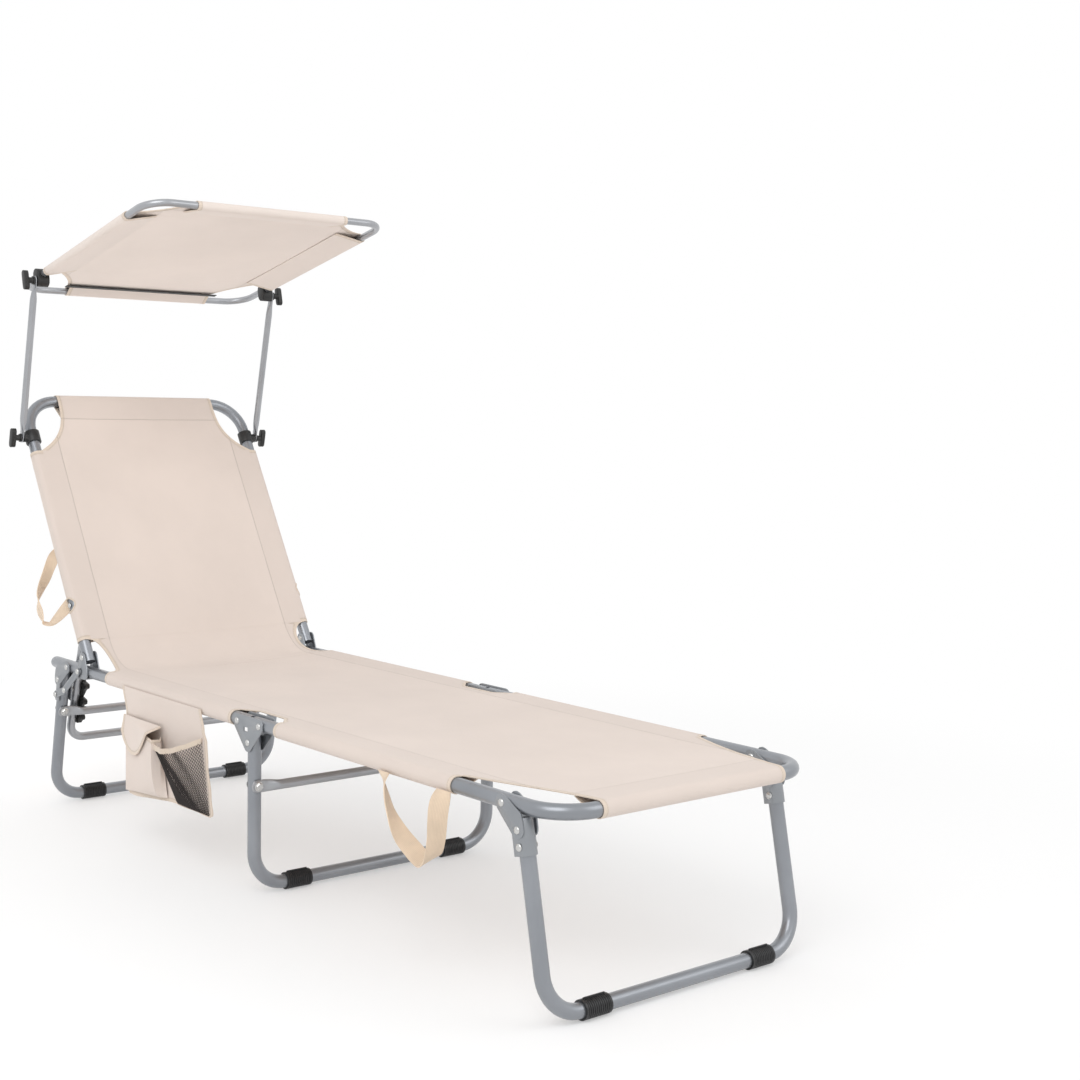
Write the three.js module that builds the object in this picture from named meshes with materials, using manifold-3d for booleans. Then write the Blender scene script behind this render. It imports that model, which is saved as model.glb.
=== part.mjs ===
// A folding sun lounger with a canopy: three tubular sections, three U-shaped legs,
// a reclining backrest held by a ratchet bar, and a small canopy on two tilting arms.
// Millimetres. +X points from the head to the feet, +Y to the sitter's left, +Z up.
// Each section is modelled flat in its own group and then turned to its place.
import * as THREE from 'three';
import { mergeVertices } from 'three/addons/utils/BufferGeometryUtils.js';
import Module from 'manifold-3d';

const wasm = await Module();
wasm.setup();

// Driving sizes of the frame
const tubeDiameter = 22;
const halfTrack = 239; // from the middle of the lounger to the axis of a side rail
const railHeight = 282; // of the rail axes above the floor
const hingeSpacing = 66; // between the two pivots of the middle hinge
const seatLength = 640; // middle pivot to rear leg pivot
const railOverhang = 82; // of the seat rail behind the rear leg pivot
const railEndGap = 8; // between the ends of the two rails over the middle leg
const footLength = 608.5; // middle pivot to front leg pivot
const footReach = 100.5; // front leg pivot to the front cross tube
const footCornerRadius = 60;
const plateThickness = 2;
const fitGap = 0.3; // clearance between pieces that touch
const rivetRadius = 3;
const rivetHeadRadius = 5;
const rivetHeadHeight = 2.4;

// Legs
const frontLegOffset = 26; // leg axis to pivot, square to the leg
const frontLegLean = 12.1; // degrees, foot forward
const rearLegOffset = 34;
const rearLegLean = 10.7; // degrees, foot backward
const legTop = 21; // of each leg tube below its pivots
const legCornerRadius = 56;
const padInset = 80; // from a leg's upright to the middle of its foot pad
const padLength = 46;
const padWall = 3;
const padRibHeight = 1.2;
const padRibCount = 4;
const padTreadWidth = 14;
const padFinWidth = 2.4;
const padFinHeight = 3;

// Backrest
const backrestPivotAhead = 68; // ahead of the rear leg pivot
const backrestPivotRise = 27; // above the rail axis
const backrestLength = 557.5; // pivot to the axis of the top tube
const backrestCornerRadius = 65;
const backrestTubeTail = 10; // of the tube below its pivot
const recline = 31.4; // degrees from upright

// Ratchet bar
const ratchetPivotUp = 108; // along the backrest
const ratchetBarLength = 286;
const ratchetBarDiameter = 16;
const ratchetBarInset = 26; // inside the backrest tube
const ratchetBarLean = 17.7; // degrees, foot backward
const ratchetBarCornerRadius = 30;
const ratchetEyeRadius = 8.5;
const rackTop = 162; // below the pivot of the bar
const rackPitch = 33.5;
const rackHookCount = 3;
const rackBack = 7; // behind the axis of the bar
const rackSeat = 2; // ahead of the axis of the bar
const rackTip = 21;
const rackThickness = 9;
const rackHookDepth = 21.2; // from the top of a hook to the foot of its seat
const rackMargin = 2; // of the rack beyond its end hooks

// Cross tubes of the legs
const crossTubeDiameter = 16;
const crossTabThickness = 2.6;
const crossTabHeight = 18;
const crossTaper = 34; // length of the flattened ends
const crossTabLength = 24;
const rearCrossDown = 98; // below the rear leg pivot, along the leg
const midCrossDown = 101;
const boltRadius = 3.5;
const boltHeadRadius = 6;
const boltHeadHeight = 3;

// Folding brace of the rear leg
const bracePivotAhead = 59; // ahead of the rear leg pivot, on the rail
const braceKneeBehind = 1; // of the knee, behind the rear leg pivot
const braceKneeDown = 44;
const braceFootDown = 66; // below the rear leg pivot, along the leg
const braceHalfWidth = 7;
const lobeRadius = 12;
const channelRivetDown = 36;
const channelEnd = 12; // of a leg channel beyond its lowest rivet

// Canopy
const armStandoff = 22; // outside the backrest tube
const armDiameter = 13;
const armFlatThickness = 4;
const armFlatWidth = 17;
const armFlatLength = 22;
const armLength = 310; // between its two pivots
const armLean = 12.3; // degrees, top forward
const armClampBelowTop = 83.5; // below the axis of the top tube
const canopyTubeDiameter = 13;
const canopyTubeRise = 12; // of the frame above the arm pivots
const canopyInset = 15; // inside the arms
const canopyBehind = 97; // rear tube behind the arm pivots
const canopyAhead = 455; // front tube ahead of the arm pivots
const canopyCornerRadius = 45;
const canopyTilt = 13.4; // degrees, front edge up
const clampWidth = 24;
const clampWall = 3.5;
const clampBossRadius = 9;
const knobStemRadius = 6;
const knobFlangeRadius = 8.5;
const knobFlangeThickness = 3;
const knobStemLength = 16;
const knobWingLength = 38;
const knobWingHeight = 13;
const knobWingThickness = 9;

// Cloth
const clothThickness = 1.5;
const clothSag = 8;
const seatSleeveInset = 94; // ahead of the backrest pivot
const seatSleeveFront = 24;
const footSleeveStart = 43; // ahead of the foot section's middle pivot
const footCornerLength = 111; // of the cut-away corners, behind the front leg pivot
const frontSleeveInset = 65; // of the sleeve's end, inside the side rail
const hingeNeckInset = 27; // of the cloth beside the middle hinge
const clothEdgeGap = 0.8; // between two pieces of the cloth that meet
const backSleeveStart = 32; // along the backrest
const backCornerLength = 119.5; // of the cut-away corners, below the top tube
const topSleeveInset = 66;
const crookNeckInset = 41; // of the cloth beside the backrest hinge
const crookLength = 50; // of the curl at the rear end of the seat cloth
const crookRise = 9;
const crookGap = 17; // from the backrest pivot to the end of the curl
const neckTaper = 12; // length over which the cloth narrows beside a sleeve
const canopySleeveInset = 91;
const canopySleeveRear = 26;
const canopySleeveFront = 372;

// Pocket on the right rail
const pocketDrop = 176;
const pocketInset = 76; // ahead of the rear end of the seat sleeve
const pocketFront = 118;
const pocketSlant = 42; // of the lower front corner
const pouchWidth = 118;
const pouchHeight = 118;
const pouchDepth = 20;
const pouchTop = 42; // below the top of the pocket
const flapDrop = 66;
const flapCornerRadius = 40;
const meshTop = 74; // below the top of the pocket
const meshDepth = 24;

// Carrying handles
const handleWidth = 30;
const handleThickness = 1.8;
const backHandleLow = 89; // along the backrest
const backHandleHigh = 232;
const backHandleReach = 70;
const footHandleBack = 163.5; // behind the end of the foot sleeve
const footHandleFront = 7.5;
const footHandleOut = 15.2;
const footHandleDrop = 121;

// Shares and small profiles
const clothColumns = 7;
const bridgeHalf = 17; // of the cloth over the middle leg
const backLowEnd = -4; // of the backrest cloth, along the backrest
const rivetWindowRadius = 9;
const midRivetDown = 31;
const frontRivetDown = 58;
const midBracketDrop = 34;
const windowWidth = 12;
const windowHeight = 7;
const windowBehind = 6;
const windowDown = 10;
const rackRivetHead = 4;
const rackRivetHeight = 1.6;
const clampThreadDepth = 8;
const canopyOverlap = 1;
const pouchInset = 12;
const pocketCornerCut = 14;
const netRimRise = 32;
const netRimSag = 14;
const netSlantShare = 0.3;
const netDepthShares = [1, 0.8, 0.5, 0];
const padSides = 12;
const nutSides = 6;
const ribShares = [0.15, 0.6, 0.75]; // of the rib pitch: crest start, crest end, valley
const crookShares = [[0, 1], [0.15, 0.5], [0.4, 0.15], [1, 0]]; // along the curl, up the curl
const domeShares = [[0, 0], [1, 0], [1, 0.35], [0.7, 0.8], [0, 1]]; // of the radius, of the height
const hookShares = [
  [0.35, 1], [0.42, 0.85], [0.56, 0.68], [1, 0.38], [1, 0.15], [0.85, 0], [0, 0.05],
]; // forward to the tip, down to the foot of the seat
const backCornerShares = [
  [0.08, 0.72, 1], [0.22, 0.42, 1], [0.45, 0.15, 0.8], [0.75, 0.03, 0.4], [1, 0, 0],
]; // along the corner, width, sag
const footCornerShares = [
  [0.08, 0.75, 1], [0.3, 0.6, 1], [0.6, 0.38, 0.7], [0.85, 0.12, 0.3], [1, 0, 0],
];
const canopyCornerShares = [[0, 0], [0.2, 0.06], [0.45, 0.22], [0.7, 0.44], [0.9, 0.7], [1, 1]];
const backHandleShares = [
  [1, 0], [0.85, 0.17], [0.6, 0.57], [0.36, 0.89], [0.18, 1], [0.06, 0.86], [0.01, 0.5], [0, 0],
]; // up from its lower end, outward
const footHandleShares = [
  [0, 0], [0.07, 0.33], [0.22, 0.7], [0.42, 0.94], [0.62, 1], [0.81, 0.93], [0.94, 0.7], [0.99, 0.37], [1, 0],
]; // forward from its rear end, down

// Facet counts
const tubeSides = 16;
const thinTubeSides = 12;
const bendSteps = 5;
const smallSides = 8;
const arcSteps = 3;

// Values that follow from the sizes above
const tubeRadius = tubeDiameter / 2;
const floorRailHeight = tubeRadius + padWall;
const cheekInner = tubeRadius + fitGap;
const cheekOuter = cheekInner + plateThickness;
const legDrop = railHeight - floorRailHeight;
const backrestPivotBehind = seatLength - backrestPivotAhead; // behind the middle pivot
const armClampUp = backrestLength - armClampBelowTop;
const backSleeveEnd = backrestLength - backCornerLength;
const seatSleeveRear = backrestPivotBehind - seatSleeveInset;
const footSleeveEnd = footLength - footCornerLength;
const pocketRear = seatSleeveRear - pocketInset;
const ratchetBarRadius = ratchetBarDiameter / 2;
const crossTubeRadius = crossTubeDiameter / 2;
const canopyTubeRadius = canopyTubeDiameter / 2;
const clothInner = tubeRadius + fitGap;
const clothOuter = clothInner + clothThickness;
const hingeHalf = hingeSpacing / 2;
const armRadius = armDiameter / 2;
const armTrack = halfTrack + armStandoff;
const canopyHalfTrack = armTrack - canopyInset;
const ratchetBarTrack = halfTrack - ratchetBarInset;
const padCentre = halfTrack - padInset;
const frontSleeveHalf = halfTrack - frontSleeveInset;
const topSleeveHalf = halfTrack - topSleeveInset;
const clothNeckHalf = halfTrack - hingeNeckInset;
const backNeckHalf = halfTrack - crookNeckInset;
const canopySleeveHalf = canopyHalfTrack - canopySleeveInset;
const armInner = armTrack - armFlatThickness / 2;
const armOuter = armTrack + armFlatThickness / 2;
const weldDistance = 1e-4;
const cutOver = 5;
const radians = THREE.MathUtils.degToRad;
const left = { name: 'left', sign: 1 };
const right = { name: 'right', sign: -1 };
const sides = [right, left];

// Materials
function finish(color, roughness, metalness) {
  return new THREE.MeshStandardMaterial({ color, roughness, metalness });
}
const frameGrey = finish(0x7c828a, 0.38, 0.6);
const thinTubeGrey = finish(0x9a9ea5, 0.35, 0.6);
const blackPlastic = finish(0x141414, 0.5, 0);
const rubberBlack = finish(0x101010, 0.8, 0);
const creamCloth = finish(0xe6d9ce, 0.9, 0);
const webbing = finish(0xecdcc2, 0.85, 0);
const blackNet = finish(0x2a2522, 0.9, 0);

function toSolid(geometry) {
  const plain = geometry.clone();
  plain.deleteAttribute('normal');
  plain.deleteAttribute('uv');
  const merged = mergeVertices(plain, weldDistance);
  const mesh = new wasm.Mesh({
    numProp: 3,
    vertProperties: new Float32Array(merged.attributes.position.array),
    triVerts: new Uint32Array(merged.index.array),
  });
  return new wasm.Manifold(mesh);
}

function toGeometry(solid) {
  const mesh = solid.getMesh();
  const geometry = new THREE.BufferGeometry();
  geometry.setAttribute('position', new THREE.BufferAttribute(mesh.vertProperties, 3));
  geometry.setIndex(new THREE.BufferAttribute(mesh.triVerts, 1));
  return geometry;
}

function join(...geometries) {
  let solid = toSolid(geometries[0]);
  for (const geometry of geometries.slice(1)) {
    solid = solid.add(toSolid(geometry));
  }
  return toGeometry(solid);
}

function cut(geometry, ...tools) {
  let solid = toSolid(geometry);
  for (const tool of tools) {
    solid = solid.subtract(toSolid(tool));
  }
  return toGeometry(solid);
}

// A bar bent in one plane: straight runs between corner points, each corner a true arc
class BentLine extends THREE.Curve {
  constructor(corners, bendRadius) {
    super();
    this.points = [];
    this.tangents = [];
    const last = corners.length - 1;
    for (let i = 0; i <= last; i += 1) {
      const here = corners[i];
      const into = i > 0 ? here.clone().sub(corners[i - 1]).normalize() : null;
      const out = i < last ? corners[i + 1].clone().sub(here).normalize() : null;
      if (!into || !out) {
        this.addStop(here, into ?? out);
      } else {
        this.addBend(here, into, out, bendRadius);
      }
    }
  }

  addStop(point, tangent) {
    this.points.push(point.clone());
    this.tangents.push(tangent.clone());
  }

  addBend(corner, into, out, bendRadius) {
    const turn = into.angleTo(out);
    const reach = bendRadius * Math.tan(turn / 2);
    const start = corner.clone().addScaledVector(into, -reach);
    const inward = out.clone().addScaledVector(into, -into.dot(out)).normalize();
    const centre = start.clone().addScaledVector(inward, bendRadius);
    for (let k = 0; k <= bendSteps; k += 1) {
      const angle = (turn * k) / bendSteps;
      const along = bendRadius * Math.sin(angle);
      const across = -bendRadius * Math.cos(angle);
      const point = centre.clone().addScaledVector(into, along).addScaledVector(inward, across);
      const tangent = into.clone().multiplyScalar(Math.cos(angle));
      tangent.addScaledVector(inward, Math.sin(angle));
      this.addStop(point, tangent);
    }
  }

  getPoint(t, target = new THREE.Vector3()) {
    const place = t * (this.points.length - 1);
    const i = Math.min(Math.floor(place), this.points.length - 2);
    return target.lerpVectors(this.points[i], this.points[i + 1], place - i);
  }

  getTangent(t, target = new THREE.Vector3()) {
    return target.copy(this.tangents[Math.round(t * (this.tangents.length - 1))]);
  }

  getPointAt(t, target) {
    return this.getPoint(t, target);
  }

  getTangentAt(t, target) {
    return this.getTangent(t, target);
  }
}

function tubeAlong(corners, bendRadius, radius, sideCount) {
  const line = new BentLine(corners, bendRadius);
  const circle = new THREE.Shape();
  circle.absarc(0, 0, radius, 0, Math.PI * 2);
  return new THREE.ExtrudeGeometry(circle, {
    steps: line.points.length - 1,
    curveSegments: sideCount / 2,
    extrudePath: line,
  });
}

function point(x, y, z) {
  return new THREE.Vector3(x, y, z);
}

// A plate cut to an outline in the XZ plane, with its thickness along Y
function plate(outline, thickness, middle) {
  const geometry = new THREE.ExtrudeGeometry(outline, {
    depth: thickness,
    bevelEnabled: false,
    curveSegments: arcSteps,
  });
  return geometry.rotateX(Math.PI / 2).translate(0, middle + thickness / 2, 0);
}

// A block standing on a plan outline in the XY plane
function prism(outline, low, high) {
  const geometry = new THREE.ExtrudeGeometry(outline, {
    depth: high - low,
    bevelEnabled: false,
    curveSegments: arcSteps,
  });
  return geometry.translate(0, 0, low);
}

// A section drawn in the YZ plane, run along X from one place to another
function runAlongX(outline, from, to) {
  const geometry = new THREE.ExtrudeGeometry(outline, {
    depth: to - from,
    bevelEnabled: false,
    curveSegments: arcSteps,
  });
  const turn = new THREE.Matrix4().makeBasis(point(0, 1, 0), point(0, 0, 1), point(1, 0, 0));
  return geometry.applyMatrix4(turn).translate(from, 0, 0);
}

function rodAlongY(x, z, radius, from, to, sideCount) {
  const rod = new THREE.CylinderGeometry(radius, radius, to - from, sideCount);
  return rod.translate(x, (from + to) / 2, z);
}

function rodAlongX(y, z, radius, from, to, sideCount) {
  const rod = new THREE.CylinderGeometry(radius, radius, to - from, sideCount);
  return rod.rotateZ(-Math.PI / 2).translate((from + to) / 2, y, z);
}

// A domed head at the outer end of a rivet, facing +Y or -Y
function domeHead(x, y, z, facing, radius, height) {
  const profile = domeShares.map(([r, h]) => new THREE.Vector2(radius * r, height * h));
  const head = new THREE.LatheGeometry(profile, smallSides);
  if (facing < 0) {
    head.rotateX(Math.PI);
  }
  return head.translate(x, y, z);
}

// A rivet through both cheeks, with a dome on each outer face
function rivet(x, z, centre, reach) {
  const tip = reach + rivetHeadHeight / 2;
  return [
    rodAlongY(x, z, rivetRadius, centre - tip, centre + tip, smallSides),
    domeHead(x, centre + reach, z, 1, rivetHeadRadius, rivetHeadHeight),
    domeHead(x, centre - reach, z, -1, rivetHeadRadius, rivetHeadHeight),
  ];
}

function rivetHole(x, z, centre) {
  const radius = rivetRadius + fitGap;
  return rodAlongY(x, z, radius, centre - cheekOuter, centre + cheekOuter, smallSides);
}

// The outline round a convex chain of corner circles, in the order given, turning left
function roundedOutline(corners, radius) {
  const outline = new THREE.Shape();
  const count = corners.length;
  for (let i = 0; i < count; i += 1) {
    const here = corners[i];
    const before = corners[(i + count - 1) % count];
    const after = corners[(i + 1) % count];
    const start = Math.atan2(here[1] - before[1], here[0] - before[0]) - Math.PI / 2;
    const end = Math.atan2(after[1] - here[1], after[0] - here[0]) - Math.PI / 2;
    outline.absarc(here[0], here[1], radius, start, end, false);
  }
  outline.closePath();
  return outline;
}

function mesh(parent, name, geometry, material) {
  const node = new THREE.Mesh(geometry, material);
  node.name = name;
  parent.add(node);
  return node;
}

function group(parent, x, z, turn) {
  const node = new THREE.Group();
  node.position.set(x, 0, z);
  node.rotation.y = turn;
  parent.add(node);
  return node;
}

function polygonShape(points) {
  return new THREE.Shape(points.map(([x, y]) => new THREE.Vector2(x, y)));
}

function circlePoints(y, z, radius, count) {
  const points = [];
  for (let i = 0; i < count; i += 1) {
    const angle = (2 * Math.PI * i) / count;
    points.push(new THREE.Vector2(y + radius * Math.cos(angle), z + radius * Math.sin(angle)));
  }
  return points;
}

// A sleeve of cloth round a tube that runs along X
function sleeveAlongX(y, inner, from, to, sideCount) {
  const ring = new THREE.Shape(circlePoints(y, 0, inner + clothThickness, sideCount));
  ring.holes.push(new THREE.Path(circlePoints(y, 0, inner, sideCount)));
  return runAlongX(ring, from, to);
}

function sleeveAlongY(x, inner, half, sideCount) {
  return sleeveAlongX(0, inner, -half, half, sideCount).rotateZ(Math.PI / 2).translate(x, 0, 0);
}

// A closed sheet through rows of points, each row with the shift to its underside
function sheetThrough(rows, shifts) {
  const across = rows[0].length;
  const layerSize = rows.length * across;
  const positions = [];
  for (const share of [0, 1]) {
    rows.forEach((row, r) => {
      for (const spot of row) {
        positions.push(...spot.clone().addScaledVector(shifts[r], share).toArray());
      }
    });
  }
  const alongRows = rows[1][0].clone().sub(rows[0][0]);
  const alongRow = rows[0][1].clone().sub(rows[0][0]);
  const outward = alongRows.cross(alongRow).dot(shifts[0]) < 0;
  const index = [];
  const quad = (a, b, c, d) => {
    index.push(...(outward ? [a, b, c, a, c, d] : [a, c, b, a, d, c]));
  };
  const at = (layer, r, c) => layer * layerSize + r * across + c;
  const lastRow = rows.length - 1;
  const lastColumn = across - 1;
  for (let r = 0; r < lastRow; r += 1) {
    for (let c = 0; c < lastColumn; c += 1) {
      quad(at(0, r, c), at(0, r + 1, c), at(0, r + 1, c + 1), at(0, r, c + 1));
      quad(at(1, r, c), at(1, r, c + 1), at(1, r + 1, c + 1), at(1, r + 1, c));
    }
    quad(at(0, r, 0), at(1, r, 0), at(1, r + 1, 0), at(0, r + 1, 0));
    const c = lastColumn;
    quad(at(0, r, c), at(0, r + 1, c), at(1, r + 1, c), at(1, r, c));
  }
  for (let c = 0; c < lastColumn; c += 1) {
    const r = lastRow;
    quad(at(0, 0, c), at(0, 0, c + 1), at(1, 0, c + 1), at(1, 0, c));
    quad(at(0, r, c), at(1, r, c), at(1, r, c + 1), at(0, r, c + 1));
  }
  const geometry = new THREE.BufferGeometry();
  geometry.setAttribute('position', new THREE.Float32BufferAttribute(positions, 3));
  geometry.setIndex(index);
  return geometry;
}

// A stretched cloth between two side rails: stations give [x, half width, sag, lift]
function clothPanel(stations, top, track) {
  const down = point(0, 0, -clothThickness);
  const rows = stations.map(([x, half, sag, lift]) => {
    const row = [];
    for (let i = 0; i <= clothColumns; i += 1) {
      const y = half * ((2 * i) / clothColumns - 1);
      row.push(point(x, y, top + lift - sag * (1 - (y / track) ** 2)));
    }
    return row;
  });
  return sheetThrough(rows, rows.map(() => down));
}

// A strap through a chain of points, its width along one axis, its thickness pushed inward
function strapAlong(spots, width, thicknessTo) {
  const half = width.clone().multiplyScalar(0.5);
  const rows = spots.map((spot) => [spot.clone().sub(half), spot.clone().add(half)]);
  const shifts = spots.map((spot, i) => {
    const before = spots[Math.max(i - 1, 0)];
    const after = spots[Math.min(i + 1, spots.length - 1)];
    const normal = after.clone().sub(before).cross(width).normalize();
    return normal.multiplyScalar(thicknessTo);
  });
  return sheetThrough(rows, shifts);
}

// U-shaped tube hanging from two open ends, in the YZ plane at one place along X
function hangingTube(x, track, top, bottom, bendRadius, radius, sideCount) {
  const corners = [
    point(x, -track, top),
    point(x, -track, bottom),
    point(x, track, bottom),
    point(x, track, top),
  ];
  return tubeAlong(corners, bendRadius, radius, sideCount);
}

// U-shaped tube lying in the XY plane: open ends at one place, cross tube at the other
function lyingTube(openEnd, crossAt, track, bendRadius, radius, sideCount) {
  const corners = [
    point(openEnd, -track, 0),
    point(crossAt, -track, 0),
    point(crossAt, track, 0),
    point(openEnd, track, 0),
  ];
  return tubeAlong(corners, bendRadius, radius, sideCount);
}

// A ribbed rubber foot round the floor tube, with a level tread under it
function footPad() {
  const inner = (tubeRadius + fitGap) / Math.cos(Math.PI / padSides);
  const crest = tubeRadius + padWall - fitGap;
  const valley = crest - padRibHeight;
  const half = padLength / 2;
  const pitch = padLength / padRibCount;
  const profile = [new THREE.Vector2(inner, -half), new THREE.Vector2(valley, -half)];
  for (let i = 0; i < padRibCount; i += 1) {
    const start = -half + i * pitch;
    profile.push(new THREE.Vector2(crest, start + pitch * ribShares[0]));
    profile.push(new THREE.Vector2(crest, start + pitch * ribShares[1]));
    profile.push(new THREE.Vector2(valley, start + pitch * ribShares[2]));
  }
  profile.push(new THREE.Vector2(inner, half));
  profile.push(profile[0].clone());
  const sleeve = new THREE.LatheGeometry(profile, padSides);
  const treadHeight = tubeRadius + padWall - valley;
  const tread = new THREE.BoxGeometry(padTreadWidth, padLength - pitch, treadHeight);
  tread.translate(0, 0, -tubeRadius - padWall + treadHeight / 2);
  const finFrom = valley - fitGap;
  const finHeight = tubeRadius + padWall + padFinHeight - finFrom;
  const fin = new THREE.BoxGeometry(padFinWidth, padLength - pitch, finHeight);
  fin.translate(0, 0, finFrom + finHeight / 2);
  return join(sleeve, tread, fin);
}

// The floor tube and two uprights of one leg, bored for its rivets and bolts
function addLeg(parent, name, axisX, length, levelTurn, rivetDowns, boltDown) {
  const tube = hangingTube(axisX, halfTrack, -legTop, -length, legCornerRadius, tubeRadius, tubeSides);
  const bores = [];
  for (const side of sides) {
    const y = side.sign * halfTrack;
    bores.push(...rivetDowns.map((down) => rivetHole(axisX, -down, y)));
    if (boltDown) {
      const reach = tubeRadius + cutOver;
      const radius = boltRadius + fitGap;
      bores.push(rodAlongX(y, -boltDown, radius, axisX - reach, axisX + reach, smallSides));
    }
  }
  mesh(parent, `${name}_leg_tube`, cut(tube, ...bores), frameGrey);
  for (const side of sides) {
    const foot = group(parent, axisX, -length, levelTurn);
    foot.position.y = side.sign * padCentre;
    mesh(foot, `${name}_foot_pad_${side.name}`, footPad(), rubberBlack);
  }
}

// The half-round wall of a bracket that is wrapped round the front or back of a leg
function halfRoundWeb(axisX, y, facing, low, high) {
  const wall = new THREE.Shape();
  wall.absarc(0, 0, cheekOuter, -Math.PI / 2, Math.PI / 2, false);
  wall.absarc(0, 0, cheekInner, Math.PI / 2, -Math.PI / 2, true);
  wall.closePath();
  const geometry = new THREE.ExtrudeGeometry(wall, {
    depth: high - low,
    bevelEnabled: false,
    curveSegments: tubeSides / 4,
  });
  return geometry.rotateZ(facing < 0 ? Math.PI : 0).translate(axisX, y, low);
}

// A bracket that carries a leg: a lobe on the pivot and a channel round the leg
function legBracket(axisX, y, rivetDowns, outerReach) {
  const lowest = Math.max(...rivetDowns) + channelEnd;
  const facing = Math.sign(axisX);
  const lobe = roundedOutline(
    facing > 0
      ? [[0, 0], [axisX, -channelRivetDown], [axisX, -legTop]]
      : [[0, 0], [axisX, -legTop], [axisX, -channelRivetDown]],
    lobeRadius
  );
  const height = lowest - legTop;
  const pieces = [];
  for (const face of [-1, 1]) {
    const middle = y + face * (cheekInner + plateThickness / 2);
    pieces.push(plate(lobe, plateThickness, middle));
    const cheek = new THREE.BoxGeometry(cheekInner, plateThickness, height);
    pieces.push(cheek.translate(axisX - (facing * cheekInner) / 2, middle, -(legTop + lowest) / 2));
  }
  pieces.push(halfRoundWeb(axisX, y, facing, -lowest, -legTop));
  pieces.push(...rivet(0, 0, y, cheekOuter));
  for (const down of rivetDowns) {
    pieces.push(...rivet(axisX, -down, y, cheekOuter));
  }
  pieces.push(...outerReach);
  return join(...pieces);
}

// A rivet carried out past a loose plate in the layer beyond the cheek
function outerRivet(x, z, y, sign, washerTo, reach) {
  const tip = sign * (reach + rivetHeadHeight / 2);
  const pieces = [
    rodAlongY(x, z, rivetRadius, y + Math.min(0, tip), y + Math.max(0, tip), smallSides),
    domeHead(x, y + sign * reach, z, sign, rivetHeadRadius, rivetHeadHeight),
  ];
  if (washerTo > cheekOuter) {
    const ends = [y + sign * (cheekOuter - plateThickness / 2), y + sign * washerTo];
    const washer = rodAlongY(x, z, rivetHeadRadius, Math.min(...ends), Math.max(...ends), smallSides);
    pieces.push(washer);
  }
  return pieces;
}

// A cross tube between two uprights, its ends flattened and bolted to their front faces
function crossTube(axisX, down) {
  const faceX = axisX + tubeRadius + fitGap;
  const centreX = faceX + crossTubeRadius;
  const tabEnd = halfTrack + tubeRadius;
  const tabFrom = halfTrack - crossTabLength / 2;
  const coneFrom = tabFrom - crossTaper + crossTabLength / 2;
  const overlap = coneFrom + cutOver;
  const pieces = [rodAlongY(centreX, -down, crossTubeRadius, -overlap, overlap, thinTubeSides)];
  for (const side of sides) {
    const s = side.sign;
    const outline = [
      [faceX, s * tabEnd],
      [faceX, s * coneFrom],
      [faceX + 2 * crossTubeRadius, s * coneFrom],
      [faceX + crossTabThickness, s * tabFrom],
      [faceX + crossTabThickness, s * tabEnd],
    ];
    if (s < 0) {
      outline.reverse();
    }
    const half = crossTabHeight / 2;
    pieces.push(prism(polygonShape(outline), -down - half, -down + half));
    const y = s * halfTrack;
    const nutX = axisX - tubeRadius - fitGap;
    const headX = faceX + crossTabThickness;
    pieces.push(rodAlongX(y, -down, boltRadius, nutX, headX, smallSides));
    pieces.push(rodAlongX(y, -down, boltHeadRadius, headX - fitGap, headX + boltHeadHeight, nutSides));
    pieces.push(rodAlongX(y, -down, boltHeadRadius, nutX - boltHeadHeight, nutX, nutSides));
  }
  return join(...pieces);
}

const lounger = new THREE.Group();

// Seat section: its group stands at the seat's middle pivot
const seat = group(lounger, -hingeHalf, railHeight, 0);
seat.name = 'seat';
const railFront = hingeHalf - railEndGap / 2;
const bracePivotX = -seatLength + bracePivotAhead;
const braceInnerTo = cheekOuter + fitGap + plateThickness; // outer face of the lower brace plate
const braceOuterFrom = braceInnerTo + fitGap;
const braceOuterTo = braceOuterFrom + plateThickness;

for (const side of sides) {
  const y = side.sign * halfTrack;
  const ends = [point(-seatLength - railOverhang, y, 0), point(railFront, y, 0)];
  const rail = tubeAlong(ends, 0, tubeRadius, tubeSides);
  const holes = [0, -seatLength, bracePivotX].map((x) => rivetHole(x, 0, y));
  mesh(seat, `seat_rail_${side.name}`, cut(rail, ...holes), frameGrey);
}

// A saddle that straddles the seat rail, its ears standing above it
function backrestBracket(side) {
  const y = side.sign * halfTrack;
  const ears = [];
  for (const face of [-1, 1]) {
    const middle = y + face * (cheekInner + plateThickness / 2);
    const outline = roundedOutline(
      [
        [bracePivotX, -plateThickness],
        [-backrestPivotBehind + tubeRadius, -plateThickness],
        [-backrestPivotBehind, backrestPivotRise],
      ],
      tubeRadius
    );
    ears.push(plate(outline, plateThickness, middle));
  }
  const saddleFrom = bracePivotX - tubeRadius / 2;
  const saddleTo = -backrestPivotBehind + tubeRadius;
  const saddle = new THREE.BoxGeometry(saddleTo - saddleFrom, 2 * cheekOuter, plateThickness);
  const saddleDown = -tubeRadius - fitGap - plateThickness / 2;
  saddle.translate((saddleFrom + saddleTo) / 2, y, saddleDown);
  const pin = rivet(-backrestPivotBehind, backrestPivotRise, y, cheekOuter);
  const fixing = outerRivet(bracePivotX, 0, y, side.sign, braceInnerTo, braceOuterTo + fitGap);
  const inner = outerRivet(bracePivotX, 0, y, -side.sign, 0, cheekOuter);
  return join(...ears, saddle, ...pin, ...fixing, ...inner);
}

for (const side of sides) {
  mesh(seat, `backrest_bracket_${side.name}`, backrestBracket(side), frameGrey);
}

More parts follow.
